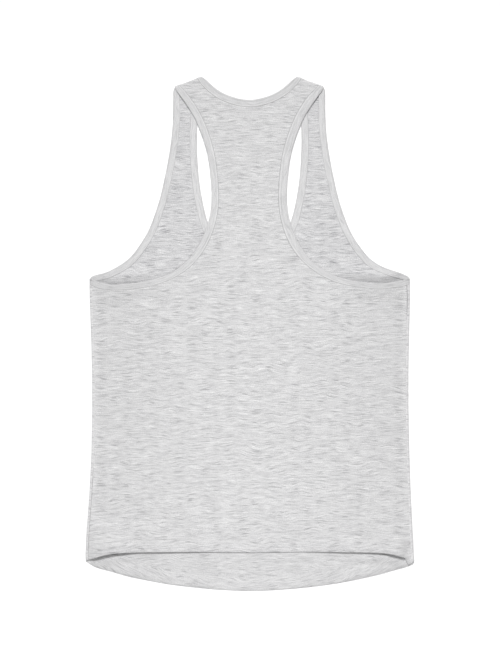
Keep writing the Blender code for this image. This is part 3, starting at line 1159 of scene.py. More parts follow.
@dataclass(frozen=True)
class HeatherJersey:
    """Single jersey of light and dark fibres spun together, so that it is streaked."""

    name: str
    tone: float = 0.538
    streak: float = 1.0
    darkest: float = -0.37
    lighter: float = 0.015
    sway: float = 10.0
    sway_reach: tuple[float, float] = (40.0, 26.0)
    sway_shift: float = 3.1
    green: float = 0.9955
    blue: float = 1.004
    blue_in_dark: float = 0.028
    bound: bool = False
    bound_tone: float = 0.985
    under_from: tuple[float, float] = (10.0, 10.8)
    under_pale: float = 0.06
    # Painted shade along the rim of the opening: how dark, then its place and reach across the
    # strip.
    painted_rim_shade: float = 0.0
    painted_rim_shade_at: tuple[float, float] = (2.3, 1.3)
    # Painted shade where an armhole's binding rolls under at the underarm: its run along the ring,
    # how it eases in and out, its place across the strip, and how dark it is.
    underarm_shade_run: tuple[float, float] = (0.0, 0.0)
    underarm_shade_ease: tuple[float, float] = (6.0, 24.0)
    underarm_shade_rim: tuple[float, float] = (0.6, 3.4)
    underarm_shade_dark: tuple[float, float] = (0.32, 0.05)  # at its rim, and all over
    wrong_side: float = 1.2  # how far its map lies over the right side's, in metres
    wrong_from: tuple[float, float] = (-660.0, -600.0)
    # Painted shade on the wrong side of the cloth, which is seen only inside the garment: the
    # share of the tone that it keeps.
    inside_shade_tone: float = 0.972
    inside_streak: float = 1.4
    # Painted cool shade in the straps and pockets inside the garment: how much bluer.
    inside_shade_blue: tuple[float, float] = (0.006, 0.02)  # all over, and in dark streaks
    inside_from: tuple[float, float] = (-180.0, -60.0)
    # Painted light towards the side folds: how much paler, and the reach from the side over which
    # it fades.
    side_light_gain: float = 0.12
    side_reach: tuple[float, float] = (1.0, 11.5)
    waist_height: float = -66.5
    waist_half: float = 208.5
    flare: float = 0.00013
    roughness: float = 0.92
    sheen: float = 0.6
    sheen_roughness: float = 0.6
    gloss: float = 0.25
    wale: float = 0.9
    course: float = 0.72
    nap: Fibre = Fibre(1.6, 1.1, 5.0, 2.0, 1.2)
    knit_rises: tuple[float, float] = (0.35, 0.25)  # of wales and courses
    relief: tuple[float, float] = (0.35, 0.12)  # strength, and millimetres
    seed: float = 0.0

    def material(self) -> bpy.types.Material:
        """Make the finish, which reads the piece's own cloth map.

        Returns:
            The material.
        """
        board = Board(self.name)
        place = board.scaled(board.node("ShaderNodeUVMap", {"uv_map": CLOTH_UV}), 1.0 / MM)
        shift = self.seed + self.sway_shift
        wander = board.noise(place, self.sway_reach, shift, 1.0) - 0.5
        sway = board.node("ShaderNodeCombineXYZ", inputs={"Y": wander * self.sway})
        laid = board.node("ShaderNodeVectorMath", {"operation": "ADD"}, {0: place, 1: sway})
        streaks = self.streaks(board, laid)
        run, over = board.part(place, "X"), board.part(place, "Y")
        cool = self.blue - streaks * self.blue_in_dark
        if self.bound:
            tone = (1.0 + streaks) * self.tone
            tone = tone * self.painted_binding_light_and_shade(over) * self.painted_underarm_shade(run, over)
        else:
            turned_over = over - self.wrong_side / MM
            wrong = turned_over.between(*self.wrong_from)
            inside = turned_over.between(*self.inside_from)
            streaks = streaks * (1.0 + inside * (self.inside_streak - 1.0))
            tone = (1.0 + streaks) * self.tone * self.painted_side_light(run, over)
            # Painted shade: the wrong side, seen inside the garment, is darker.
            tone = tone * (1.0 - wrong * (1.0 - self.inside_shade_tone))
            # Painted cool shade: bluer in the upper inside of the garment, at the straps and
            # pockets.
            all_over, in_dark = self.inside_shade_blue
            cool = cool + inside * (all_over - streaks * in_dark)
        board.paint(tone, tone * self.green, tone * cool)
        board.emboss(self.knit(board, place), *self.relief)
        board.give(
            {
                "Roughness": self.roughness,
                "Sheen Weight": self.sheen,
                "Sheen Roughness": self.sheen_roughness,
                "Specular IOR Level": self.gloss,
            }
        )
        return board.material

    def streaks(self, board: Board, laid: Sock) -> Sock:
        """Mix the light and dark fibres.

        Args:
            board: the finish's nodes.
            laid: place along and across the yarn, in millimetres.

        Returns:
            How much lighter the cloth is, as a share of its tone.
        """
        mixed = self.lighter
        for fibre in HEATHER:
            mixed = fibre.shade(board, laid, self.seed) + mixed
        return mixed.at_least(self.darkest) * self.streak

    def painted_binding_light_and_shade(self, over: Sock) -> Sock:
        """Find the tone across a binding: painted highlight on its raised roll and ridge, painted
        shade in its dip and groove and, where set, along its rim, and a little paler on its under
        face.

        Args:
            over: place across the strip, in millimetres.

        Returns:
            A share of the cloth's tone.
        """
        tone = self.bound_tone - over.line_at(*self.painted_rim_shade_at) * self.painted_rim_shade
        for centre, reach, lighter in BINDING_LIGHT_AND_SHADE:
            tone = tone + over.line_at(centre, reach) * lighter
        return tone + over.between(*self.under_from) * self.under_pale

    def painted_underarm_shade(self, run: Sock, over: Sock) -> Sock | float:
        """Find the painted shade where an armhole's binding rolls under at the underarm, darkest
        along its rim.

        Args:
            run: place along the ring, in millimetres.
            over: place across the strip.

        Returns:
            A share of the cloth's tone.
        """
        start, end = self.underarm_shade_run
        if end <= start:
            return 1.0
        before, after = self.underarm_shade_ease
        rim, all_over = self.underarm_shade_dark
        low = run.between(start - before, start) * (1.0 - run.between(end - after, end))
        return 1.0 - low * (over.line_at(*self.underarm_shade_rim) * rim + all_over)

    def painted_side_light(self, across: Sock, over: Sock) -> Sock:
        """Find the tone of the cloth at its sides, with painted light that makes it paler towards
        the side folds.

        Args:
            across: place across the panel, in millimetres.
            over: height in the panel.

        Returns:
            A share of the cloth's tone.
        """
        past_waist = over - self.waist_height
        half = self.waist_half + past_waist * past_waist * self.flare
        from_side = half - across.absolute()
        return 1.0 + (1.0 - from_side.between(*self.side_reach)) * self.side_light_gain

    def knit(self, board: Board, place: Sock) -> Sock:
        """Raise the wales and courses, with loose fibre on top.

        Args:
            board: the finish's nodes.
            place: where on the cloth, in millimetres.

        Returns:
            The relief's height.
        """
        wales = (board.part(place, "X") * (math.tau / self.wale)).sine()
        courses = (board.part(place, "Y") * (math.tau / self.course)).sine()
        of_wales, of_courses = self.knit_rises
        nap = self.nap.shade(board, place, self.seed)
        return wales * of_wales + courses * of_courses + nap


@dataclass(frozen=True)
class SewingThread:
    """Spun polyester thread, a little paler and glossier than the jersey."""

    name: str
    tone: float = 0.66
    roughness: float = 0.6
    sheen: float = 0.1
    twist: float = 0.35
    mottle: float = 0.16
    relief: tuple[float, float] = (0.3, 0.05)  # strength, and millimetres

    def material(self) -> bpy.types.Material:
        """Make the finish, with the thread's plies as a bump.

        Returns:
            The material.
        """
        board = Board(self.name)
        place = board.node("ShaderNodeTexCoord", output="Object")
        scaled = board.scaled(place, 1.0 / (self.twist * MM))
        inputs = {"Vector": scaled, "Scale": 1.0, "Detail": 1.0}
        ply = board.node("ShaderNodeTexNoise", inputs=inputs)
        tone = (1.0 + (ply - 0.5) * self.mottle) * self.tone
        board.paint(tone, tone, tone)
        board.emboss(ply, *self.relief)
        board.give({"Roughness": self.roughness, "Sheen Weight": self.sheen})
        return board.material


def finished(work: bmesh.types.BMesh, name: str, material: bpy.types.Material) -> bpy.types.Object:
    """Make a piece of a mesh in millimetres.

    Args:
        work: its closed shape, which is used up.
        name: the piece's name.
        material: its finish.

    Returns:
        The piece, in metres, at the origin.
    """
    if work.calc_volume(signed=True) < 0.0:
        bmesh.ops.reverse_faces(work, faces=work.faces[:])
    settled = DRAFT.settle(np.array([corner.co[:] for corner in work.verts]))
    for corner, point in zip(work.verts, settled):
        corner.co = point
    bmesh.ops.scale(work, vec=(MM, MM, MM), verts=work.verts[:])
    mesh = bpy.data.meshes.new(name)
    work.to_mesh(mesh)
    work.free()
    mesh.shade_smooth()
    mesh.set_sharp_from_angle(angle=SHARP_FROM)
    mesh.materials.append(material)
    piece = bpy.data.objects.new(name, mesh)
    bpy.context.scene.collection.objects.link(piece)
    mesh.calc_loop_triangles()
    LOG.info("%s: %d triangles", name, len(mesh.loop_triangles))
    return piece


@dataclass
class FlatCut:
    """Half of one panel's flat cut: its outline, the rows it keeps and a fine filling."""

    outline: Array
    rows: list[Array]
    spacing: float = 4.2
    clearance: float = 2.4

    def filling(self, kept: Array) -> Array:
        """Scatter evenly staggered points inside the outline.

        Args:
            kept: points that they keep clear of.

        Returns:
            Flat points.
        """
        tree = KDTree(len(kept))
        for i, point in enumerate(kept):
            tree.insert((*point, 0.0), i)
        tree.balance()
        low, high = self.outline.min(axis=0), self.outline.max(axis=0)
        heights = np.arange(low[1], high[1], self.spacing * math.sin(math.pi / 3.0))
        found = []
        for row, y in enumerate(heights):
            start = self.spacing / 2.0 if row % 2 else self.spacing
            places = np.arange(start, high[0], self.spacing)
            line = np.stack((places, np.full(len(places), y)), axis=1)
            line = line[enclosed(self.outline, line)]
            found += [p for p in line if tree.find((*p, 0.0))[2] > self.clearance]
        return np.array(found)

    def mesh(self) -> bmesh.types.BMesh:
        """Fill the outline with triangles and mirror it.

        Returns:
            The whole flat cut, both halves, facing up.
        """
        points, edges = [], []
        for line, closed in [(self.outline, True)] + [(row, False) for row in self.rows]:
            first, count = len(points), len(line)
            points += [tuple(point) for point in line]
            edges += [(first + i, first + i + 1) for i in range(count - 1)]
            if closed:
                edges.append((first + count - 1, first))
        points += [tuple(point) for point in self.filling(np.array(points))]
        made = delaunay_2d_cdt([Vector(p) for p in points], edges, [], 0, TINY, False)
        flat = np.array([tuple(point) for point in made[0]])
        triangles = np.array(made[2])
        triangles = triangles[enclosed(self.outline, flat[triangles].mean(axis=1))]
        work = bmesh.new()
        corners = [work.verts.new((x if x > TINY else 0.0, y, 0.0)) for x, y in flat]
        for triangle in triangles:
            work.faces.new([corners[i] for i in triangle])
        loose = [corner for corner in work.verts if not corner.link_faces]
        bmesh.ops.delete(work, geom=loose, context="VERTS")
        half = work.verts[:] + work.edges[:] + work.faces[:]
        bmesh.ops.mirror(work, geom=half, axis="X", merge_dist=TINY)
        return work


def shoulder_strip(here: Array, there: Array, spacing: float = 0.8) -> Array:
    """Flat points of one edge over the shoulder fold, up to the seam.

    Args:
        here: where the edge meets the fold on this layer.
        there: where the other layer's edge meets it.
        spacing: distance from point to point.

    Returns:
        The points, from this layer's side to the seam.
    """
    radius = DRAFT.shoulder_radius
    start, end = [
        float((point - DRAFT.shoulder_axis) @ DRAFT.along_shoulder) for point in (here, there)
    ]
    quarter = math.pi / 2.0 - DRAFT.seam_gap / 2.0 / radius
    reach = np.linspace(0.0, quarter, round(radius * quarter / spacing) + 2)[:, None]
    along = start + reach / math.pi * (end - start)
    flat = DRAFT.shoulder_axis + along * DRAFT.along_shoulder
    return flat + radius * reach * DRAFT.over_shoulder


@dataclass
class Panel:
    """One cut panel: a wall of jersey with a turned-in hem."""

    name: str
    layer: Layer
    hem: Hem
    finish: HeatherJersey
    under_binding: float = 4.6
    spacing: float = 4.2
    fold_steps: int = 8
    hem_round: float = 0.5
    seam_round: float = 0.33
    doubled_at_fold: float = 0.45
    doubled_reach: float = 6.0
    needle_reach: float = 0.75
    needle_pull: float = 0.12
    tuck_rise: float = 0.4
    tuck_reach: tuple[float, float] = (6.0, 8.0)
    row_clearance: float = 1.6
    fold_clearance: float = 3.0
    centre_clearance: float = 0.6  # in spacings
    at_hem: float = 0.6  # a corner this close to the hem counts as on it
    arm_tail: int = 12  # how many points of the armhole line are searched for the seam
    below_hem: tuple[float, ...] = (2.0, -0.6, -3.2, -5.8)

    def across(self, y: Array | float) -> Array:
        """This panel's cut edge at the side seam."""
        edge = DRAFT.front_seam if self.layer is Layer.LOWER else DRAFT.back_seam
        return edge(y)

    def edges(self) -> tuple[BoundEdge, BoundEdge, BoundEdge, BoundEdge]:
        """Neck and armhole of this layer, then of the other one."""
        front, back = (FRONT_NECK, FRONT_ARM), (BACK_NECK, BACK_ARM)
        return front + back if self.layer is Layer.LOWER else back + front

    def seam_line(self, top: Array, bottom: Array, ends: Sequence[float]) -> Array:
        """Draw the side seam edge between two corners.

        Args:
            top: the upper corner.
            bottom: the lower corner.
            ends: heights where the hem's rows end on it.

        Returns:
            Flat points from the top down.
        """
        count = round((top[1] - bottom[1]) / self.spacing)
        even = np.linspace(top[1], bottom[1], count + 1)[1:-1]
        clear = [y for y in even if min(abs(y - end) for end in ends) > self.row_clearance]
        heights = np.array(sorted(clear + list(ends), reverse=True))
        return np.stack((self.across(heights), heights), axis=1)

    def cut(self) -> FlatCut:
        """Draft half of the panel from its edges, hem and side.

        Returns:
            The outline and the rows inside it.
        """
        neck_edge, arm_edge, other_neck, other_arm = self.edges()
        inset = self.under_binding
        neck, arm = neck_edge.at(inset), arm_edge.at(inset)
        rows = [
            self.hem.inward(distance, self.across, self.spacing)
            for distance in self.hem.feature_distances()
        ]
        hem_end = self.hem.meeting(self.across)
        ends = [row[-1][1] for row in rows]
        at_arm = shoulder_strip(arm[0], other_arm.at(inset)[0])
        at_neck = shoulder_strip(neck[0], other_neck.at(inset)[0])
        for low, high in list(zip(at_neck, at_arm))[:-1]:
            rows.append(evenly(np.array((low, high)), self.spacing))
        top = evenly(np.array((at_neck[-1], at_arm[-1])), self.spacing)[1:-1]

        if self.layer is Layer.LOWER:
            hem_edge, beside, columns = self.side_fold(hem_end, arm, ends)
            rows += columns + self.rows_below_hem()
            arm_part = arm[-2:0:-1]
        else:
            hem_edge, beside = self.plain_side(hem_end, arm, ends)
            arm_part = arm[1:][arm[1:, 0] < beside[-1][0] - 1.0][::-1]
        centre = self.centre_line(neck[-1][1], hem_edge[0][1], rows)
        outline = np.concatenate(
            (hem_edge, beside, arm_part, at_arm, top[::-1], at_neck[::-1], neck[1:], centre)
        )
        return FlatCut(outline, rows, self.spacing)

    def centre_line(self, top: float, bottom: float, rows: Sequence[Array]) -> Array:
        """Space the points of the centre line, with one where each row starts on it.

        Args:
            top: height of its upper end.
            bottom: height of its lower end.
            rows: the rows inside the outline.

        Returns:
            Flat points from the top down, without both ends.
        """
        even = np.arange(top, bottom, -self.spacing)[1:-1]
        for row in rows:
            even = even[np.abs(even - row[0][1]) > self.centre_clearance * self.spacing]
        starts = [row[0][1] for row in rows if row[0][0] == 0.0]
        heights = np.array(sorted([*even, *starts], reverse=True))
        return np.stack((np.zeros(len(heights)), heights), axis=1)

    def rows_below_hem(self) -> list[Array]:
        """Draw rows of the front where the back's hem lies over it and shades it.

        Returns:
            Flat points of each row.
        """

        def short_of_fold(y: Array | float) -> Array:
            """A little inside the start of the side fold."""
            return DRAFT.fold_start(y) - self.fold_clearance

        return [BACK_HEM.inward(far, short_of_fold, self.spacing) for far in self.below_hem]

    def plain_side(
        self, hem_end: Array, arm: Array, ends: Sequence[float]
    ) -> tuple[Array, Array]:
        """Lay out the hem and the side of the back, which isn't folded.

        Args:
            hem_end: where the hem meets the side seam.
            arm: this layer's armhole line.
            ends: heights where the hem's rows meet the side seam.

        Returns:
            The hem edge, and the side seam up to the armhole.
        """
        corner = self.seam_corner(arm, DRAFT.back_seam)
        seam = self.seam_line(corner, hem_end, ends)
        hem_x = np.linspace(0.0, hem_end[0], round(hem_end[0] / self.spacing) + 1)
        hem_edge = np.stack((hem_x, self.hem.height(hem_x)), axis=1)
        return hem_edge, np.concatenate((seam[::-1], corner[None]))

    def seam_corner(self, arm: Array, place: Callable) -> Array:
        """Find where the side seam meets the edge of the back armhole.

        Args:
            arm: the armhole line.
            place: the seam's distance from the centre line, as a function of height.

        Returns:
            The flat point, in this panel's cut.
        """
        tail = arm[-self.arm_tail :]
        y = float(np.interp(place(arm[-1][1]), tail[:, 0], tail[:, 1]))
        return np.array((float(self.across(y)), y))

    def side_fold(
        self, hem_end: Array, arm: Array, ends: Sequence[float]
    ) -> tuple[Array, Array, list[Array]]:
        """Lay out the cloth that wraps the side fold.

        Args:
            hem_end: where the hem meets the side seam.
            arm: this layer's armhole line.
            ends: heights where the hem's rows meet the side seam.

        Returns:
            The hem edge, the edge beside the fold, and the columns along it.
        """
        turns = [math.pi * i / self.fold_steps for i in range(self.fold_steps + 1)]

        def column(turn: float) -> Callable:
            """Where a turn round the fold lies, as a function of height."""
            return lambda y: DRAFT.fold_start(y) + turn * DRAFT.fold_radius(y)

        feet = np.array([self.hem.meeting(column(turn)) for turn in turns])
        hem_x = np.linspace(0.0, feet[0][0], round(feet[0][0] / self.spacing) + 1)
        flat_part = np.stack((hem_x, self.hem.height(hem_x)), axis=1)
        hem_edge = np.concatenate((flat_part, feet[1:], hem_end[None]))
        back_arm = BACK_ARM.at(self.under_binding)
        heads = []
        for turn in turns:
            y = arm[-1][1] + turn / math.pi * (back_arm[-1][1] - arm[-1][1])
            heads.append((float(column(turn)(y)), y))
        corner = self.seam_corner(back_arm, DRAFT.seam_place)
        seam = self.seam_line(corner, hem_end, ends)
        columns = []
        for turn, head, foot in zip(turns, heads, feet):
            inner = seam[(seam[:, 1] > foot[1] + 1.0) & (seam[:, 1] < head[1] - 1.0)]
            middle = np.stack((column(turn)(inner[:, 1]), inner[:, 1]), axis=1)
            columns.append(np.concatenate(([head], middle, [foot])))
        beside = np.concatenate((seam[::-1], corner[None], np.array(heads)[::-1]))
        return hem_edge, beside, columns

    def build(self) -> bpy.types.Object:
        """Cut the panel, give it its wall, turn its hem in and lay it down.

        Returns:
            The piece.
        """
        work = self.cut().mesh()
        flat_layer = work.verts.layers.float_vector.new("flat")
        share_layer = work.verts.layers.float.new("share")
        out_layer = work.verts.layers.float_vector.new("out")
        for corner in work.verts:
            corner[flat_layer] = corner.co
            corner[out_layer] = self.outward(corner)
        made = bmesh.ops.extrude_face_region(work, geom=work.faces[:])
        for element in made["geom"]:
            if isinstance(element, bmesh.types.BMVert):
                element[share_layer] = 1.0
                element.co.z = -self.spacing
        bmesh.ops.recalc_face_normals(work, faces=work.faces[:])
        walls = [
            edge
            for edge in work.edges
            if edge.verts[0][share_layer] != edge.verts[1][share_layer]
        ]
        bmesh.ops.subdivide_edges(work, edges=walls, cuts=3, use_grid_fill=True)

        corners = work.verts[:]
        flat = np.array([corner[flat_layer][:2] for corner in corners])
        share = np.array([corner[share_layer] for corner in corners])
        out = np.array([corner[out_layer][:2] for corner in corners])
        half_turn = math.pi * share
        placed = flat + out * np.sin(half_turn)[:, None]
        right_half = np.stack((np.abs(flat[:, 0]), flat[:, 1]), axis=1)
        inside, where = nearest_on(self.hem.line, right_half)
        depth = self.depth(share, inside)
        tuck = self.tuck(right_half) if self.layer is Layer.LOWER else np.zeros(len(flat))
        space = DRAFT.place(self.layer, placed, depth, tuck)
        self.map_cloth(work, flat, share, inside, where)
        for corner, point in zip(corners, space):
            corner.co = point
        for layer in (flat_layer, out_layer):
            work.verts.layers.float_vector.remove(layer)
        return finished(work, self.name, self.finish.material())

    def outward(self, corner: bmesh.types.BMVert) -> tuple[float, float, float]:
        """Find how far the middle of the rim stands out at a corner of the flat cut.

        Args:
            corner: a vertex of the flat mesh.

        Returns:
            The way out, in millimetres, and none for a corner inside.
        """
        rim = [edge for edge in corner.link_edges if edge.is_boundary]
        if len(rim) != 2:
            return 0.0, 0.0, 0.0
        x, y = abs(corner.co.x), corner.co.y
        on_hem = abs(float(self.hem.height(x)) - y) < self.at_hem
        ends = [edge.other_vert(corner).co.xy - corner.co.xy for edge in rim]
        travel = ends[1].normalized() - ends[0].normalized()
        if travel.length < TINY:
            return 0.0, 0.0, 0.0
        normal = Vector((travel.y, -travel.x)).normalized()
        faces = rim[0].link_faces[0].calc_center_median().xy - corner.co.xy
        if normal.dot(faces) > 0.0:
            normal = -normal
        reach = self.hem_round if on_hem else self.seam_round
        return normal.x * reach, normal.y * reach, 0.0

    def depth(self, share: Array, inside: Array) -> Array:
        """Find how deep each point of the wall lies, from the right side.

        Args:
            share: 0 on the right side and 1 on the wrong side.
            inside: distance of each point from the finished hem.

        Returns:
            Depths in millimetres.
        """
        doubled = eased((self.hem.allowance + self.hem.step - inside) / self.hem.step)
        full = eased(inside / self.doubled_reach)
        doubled = doubled * (self.doubled_at_fold + (1.0 - self.doubled_at_fold) * full)
        reach = self.needle_reach * self.hem.groove
        pulled = sum(np.exp(-(((inside - row) / reach) ** 2)) for row in self.hem.needles)
        turned = 0.5 - 0.5 * np.cos(math.pi * share)
        pull = self.needle_pull * (1.0 - 2.0 * turned)
        return DRAFT.wall * (1.0 + doubled) * turned + pulled * pull

    def tuck(self, right_half: Array) -> Array:
        """Find how far the cloth rises to run into the middle of the bindings.

        Args:
            right_half: flat places, all brought to the right half.

        Returns:
            A rise for each.
        """
        bound = [nearest_on(edge.whole(), right_half)[0] for edge in (FRONT_NECK, FRONT_ARM)]
        full, none = self.tuck_reach
        return self.tuck_rise * (1.0 - eased((np.minimum(*bound) - full) / (none - full)))

    def map_cloth(
        self, work: bmesh.types.BMesh, flat: Array, share: Array, inside: Array, where: Array
    ) -> None:
        """Map the cloth, so that its streaks turn back with the turned-in hem.

        Args:
            work: the panel's mesh.
            flat: each corner's place in the flat cut.
            share: 0 on the right side and 1 on the wrong side.
            inside: distance of each corner from the finished hem.
            where: the place in the hem's line that is nearest to each.
        """
        nearest = self.hem.line[where]
        hand = np.where(flat[:, 0] < 0.0, -1.0, 1.0)
        nearest = nearest * np.stack((hand, np.ones(len(hand))), axis=1)
        turned = 2.0 * nearest - flat
        wrong_side = flat + (0.0, self.finish.wrong_side / MM)
        in_allowance = inside < self.hem.allowance + TINY
        on_wrong_side = share > 1.0 - TINY
        layer = work.loops.layers.uv.new(CLOTH_UV)
        work.verts.index_update()
        for face in work.faces:
            numbers = [corner.index for corner in face.verts]
            source = flat
            if on_wrong_side[numbers].all():
                source = turned if in_allowance[numbers].all() else wrong_side
            for loop in face.loops:
                loop[layer].uv = source[loop.vert.index] * MM


@dataclass(frozen=True)
class Station:
    """One section of a binding: its finished edge, inner edge and the way out."""

    edge: Array
    inner: Array
    way: Array
    width: float
    pinch: float = 0.0

    def point(self, share: float, up: float) -> Array:
        """Find a place in the section.

        Args:
            share: how far in it lies, as a share of the width.
            up: how far out of the cloth.

        Returns:
            The place in space.
        """
        reach = self.inner - self.edge
        inward = self.pinch + share * (self.width - self.pinch)
        return self.edge + reach / np.linalg.norm(reach) * inward + self.way * up

    def flipped(self) -> "Station":
        """The same section on the other side of the centre line."""
        flip = np.array((-1.0, 1.0, 1.0))
        return replace(self, edge=self.edge * flip, inner=self.inner * flip, way=self.way * flip)


@dataclass
class Binding:
    """A strip of jersey folded over a raw edge and closed to a ring."""

    name: str
    finish: HeatherJersey
    back_width: float = 9.5
    front_width: float = 9.6
    fold_width: float = 9.0
    spread: float = 16.0
    middle: float = 0.9
    stitch_inward: float = 6.9
    fold_steps: int = 12
    pinch: float = 1.9
    pinch_reach: float = 3.0
    pinch_at_start: float = 0.45
    stitch_rises: tuple[float, float] = (0.72, -0.80)
    section_width: float = 8.0
    section: Table = (  # inward, up, for a strip of the section's own width
        (0.0, 0.0),
        (0.1, 0.4),
        (0.4, 0.72),
        (1.0, 0.88),
        (1.7, 0.9),
        (2.6, 0.84),
        (3.6, 0.74),
        (4.6, 0.72),
        (5.5, 0.78),
        (6.2, 0.84),
        (6.6, 0.76),
        (6.9, 0.66),
        (7.2, 0.76),
        (7.6, 0.78),
        (8.0, 0.62),
        (8.15, 0.3),
        (8.15, -0.3),
        (8.0, -0.62),
        (7.6, -0.84),
        (7.2, -0.82),
        (6.9, -0.76),
        (6.6, -0.82),
        (6.0, -0.9),
        (4.6, -0.9),
        (3.0, -0.9),
        (1.6, -0.88),
        (0.8, -0.82),
        (0.3, -0.62),
        (0.08, -0.34),
    )

    def stations(self) -> list[Station]:
        """The sections all round the ring."""
        raise NotImplementedError

    def laid(self, bound: BoundEdge, hand: Hand) -> list[Station]:
        """Sections along one bound edge, drawn on the right at the heights of either side.

        Args:
            bound: the edge.
            hand: the side of the garment whose creases they follow.

        Returns:
            The sections, which are flipped for the left side.
        """
        made = []
        upper = bound.layer is Layer.UPPER
        full = self.back_width if upper else self.front_width
        edges = bound.at(0.0)
        for edge, inner in zip(edges, bound.facing(edges, full)):
            pair = np.array((edge, inner))
            across = hand.value * pair[:, 0]
            if upper:
                height = DRAFT.upper_height(across, pair[:, 1]) - DRAFT.wall / 2.0
                way = (0.0, 0.0, 1.0)
            else:
                height = self.middle + DRAFT.lower_lift(across, pair[:, 1])
                way = (0.0, 0.0, -1.0)
            ends = np.concatenate((pair, height[:, None]), axis=1)
            near = max(DRAFT.past_shoulder(edge), float(DRAFT.past_side(edge[None])[0]))
            at_fold = math.exp(-((near / self.spread) ** 2))
            width = self.width_at(bound.layer, edge)
            width += (self.fold_width - width) * at_fold
            pinch = self.pinch * self.pinch_at_start
            pinch *= math.exp(-((near / self.pinch_reach) ** 2))
            made.append(Station(ends[0], ends[1], np.array(way), width, pinch))
        return made

    def width_at(self, layer: Layer, edge: Array) -> float:
        """The band's width at a place of the finished edge, away from the folds."""
        return self.back_width if layer is Layer.UPPER else self.front_width

    def folded(self, back: Station, front: Station, over: Sequence[float]) -> list[Station]:
        """Sections round a fold, between the last on the back and the first on the front.

        Args:
            back: the section where the fold starts, on the upper layer.
            front: the section where it ends, on the lower layer.
            over: level direction in which the fold bulges.

        Returns:
            The sections between the two.
        """
        made = []
        for i in range(1, self.fold_steps):
            share = i / self.fold_steps
            angle = math.pi * share
            way = np.array((*(np.array(over) * math.sin(angle)), math.cos(angle)))
            ends = []
            for upper, lower in ((back.edge, front.edge), (back.inner, front.inner)):
                axis = upper + share * (lower - upper)
                axis[2] = (lower[2] + upper[2]) / 2.0
                ends.append(axis + way * (upper[2] - lower[2]) / 2.0)
            start = self.pinch_at_start
            pinch = self.pinch * (start + (1.0 - start) * math.sin(angle))
            made.append(Station(ends[0], ends[1], way, self.fold_width, pinch))
        return made

    def build(self) -> bpy.types.Object:
        """Roll a grid round the sections and along the ring, and close it.

        Returns:
            The piece.
        """
        ring = self.stations()
        around, along = len(self.section), len(ring)
        full = self.section_width
        points = np.array([[s.point(i / full, up) for i, up in self.section] for s in ring])
        points = np.concatenate((points, points[:1]))
        points = np.concatenate((points, points[:, :1]), axis=1)
        length = travelled(np.array([s.point(0.5, 0.0) for s in ring + ring[:1]]))
        girth = travelled(np.array(self.section + self.section[:1]))

        work = bmesh.new()
        bmesh.ops.create_grid(work, x_segments=along, y_segments=around, size=1.0)
        layer = work.loops.layers.uv.new(CLOTH_UV)
        place = {}
        for corner in work.verts:
            i = round((corner.co.x + 1.0) / 2.0 * along)
            j = round((corner.co.y + 1.0) / 2.0 * around)
            place[corner] = (i, j)
            corner.co = points[i, j]
        for face in work.faces:
            for loop in face.loops:
                i, j = place[loop.vert]
                loop[layer].uv = (length[i] * MM, girth[j] * MM)
        bmesh.ops.remove_doubles(work, verts=work.verts[:], dist=TINY)
        bmesh.ops.recalc_face_normals(work, faces=work.faces[:])
        return finished(work, self.name, self.finish.material())

    def stitch_lines(self) -> list[tuple[Array, Array]]:
        """Find where the binding is sewn.

        Returns:
            The needle row and the row under it, each with its way out.
        """
        ring = self.stations()
        ring = ring + ring[:1]
        ways = np.array([station.way for station in ring])
        share = self.stitch_inward / self.section_width
        upper, lower = (np.array([s.point(share, up) for s in ring]) for up in self.stitch_rises)
        return [(upper, ways), (lower, -ways)]


class NeckBinding(Binding):
    """The ring round the neck."""

    def stations(self) -> list[Station]:
        """Go round by the back, the left shoulder, the front and the right shoulder.

        Returns:
            The sections.
        """
        halves = []
        for hand in (Hand.RIGHT, Hand.LEFT):
            back, front = self.laid(BACK_NECK, hand), self.laid(FRONT_NECK, hand)
            fold = self.folded(back[0], front[0], DRAFT.over_shoulder)
            halves.append((back, fold, front))
        back, fold, front = halves[0]
        left_back, left_fold, left_front = halves[1]
        left = left_back[-2::-1] + left_fold + left_front
        return back + [s.flipped() for s in left] + front[-2::-1] + fold[::-1]


@dataclass
class ArmholeBinding(Binding):
    """The ring round one armhole."""

    hand: Hand = Hand.RIGHT
    under_width: float = 7.7
    narrows: tuple[float, float] = (205.0, 262.0)

    def width_at(self, layer: Layer, edge: Array) -> float:
        """Find the band's width, which gets less on the back towards the underarm.

        Args:
            layer: the layer that this part of the edge is in.
            edge: a place of the finished edge.

        Returns:
            Millimetres.
        """
        width = super().width_at(layer, edge)
        if layer is Layer.LOWER:
            return width
        start, end = self.narrows
        share = eased((DRAFT.centre_down - edge[1] - start) / (end - start))
        return width + (self.under_width - width) * float(share)

    def stations(self) -> list[Station]:
        """Go round by the back, the underarm, the front and the shoulder.

        Returns:
            The sections.
        """
        back, front = self.laid(BACK_ARM, self.hand), self.laid(FRONT_ARM, self.hand)
        side = self.folded(back[-1], front[-1], (1.0, 0.0))
        top = self.folded(back[0], front[0], DRAFT.over_shoulder)
        ring = back + side + front[::-1] + top[::-1]
        if self.hand is Hand.LEFT:
            ring = [station.flipped() for station in ring]
        return ring


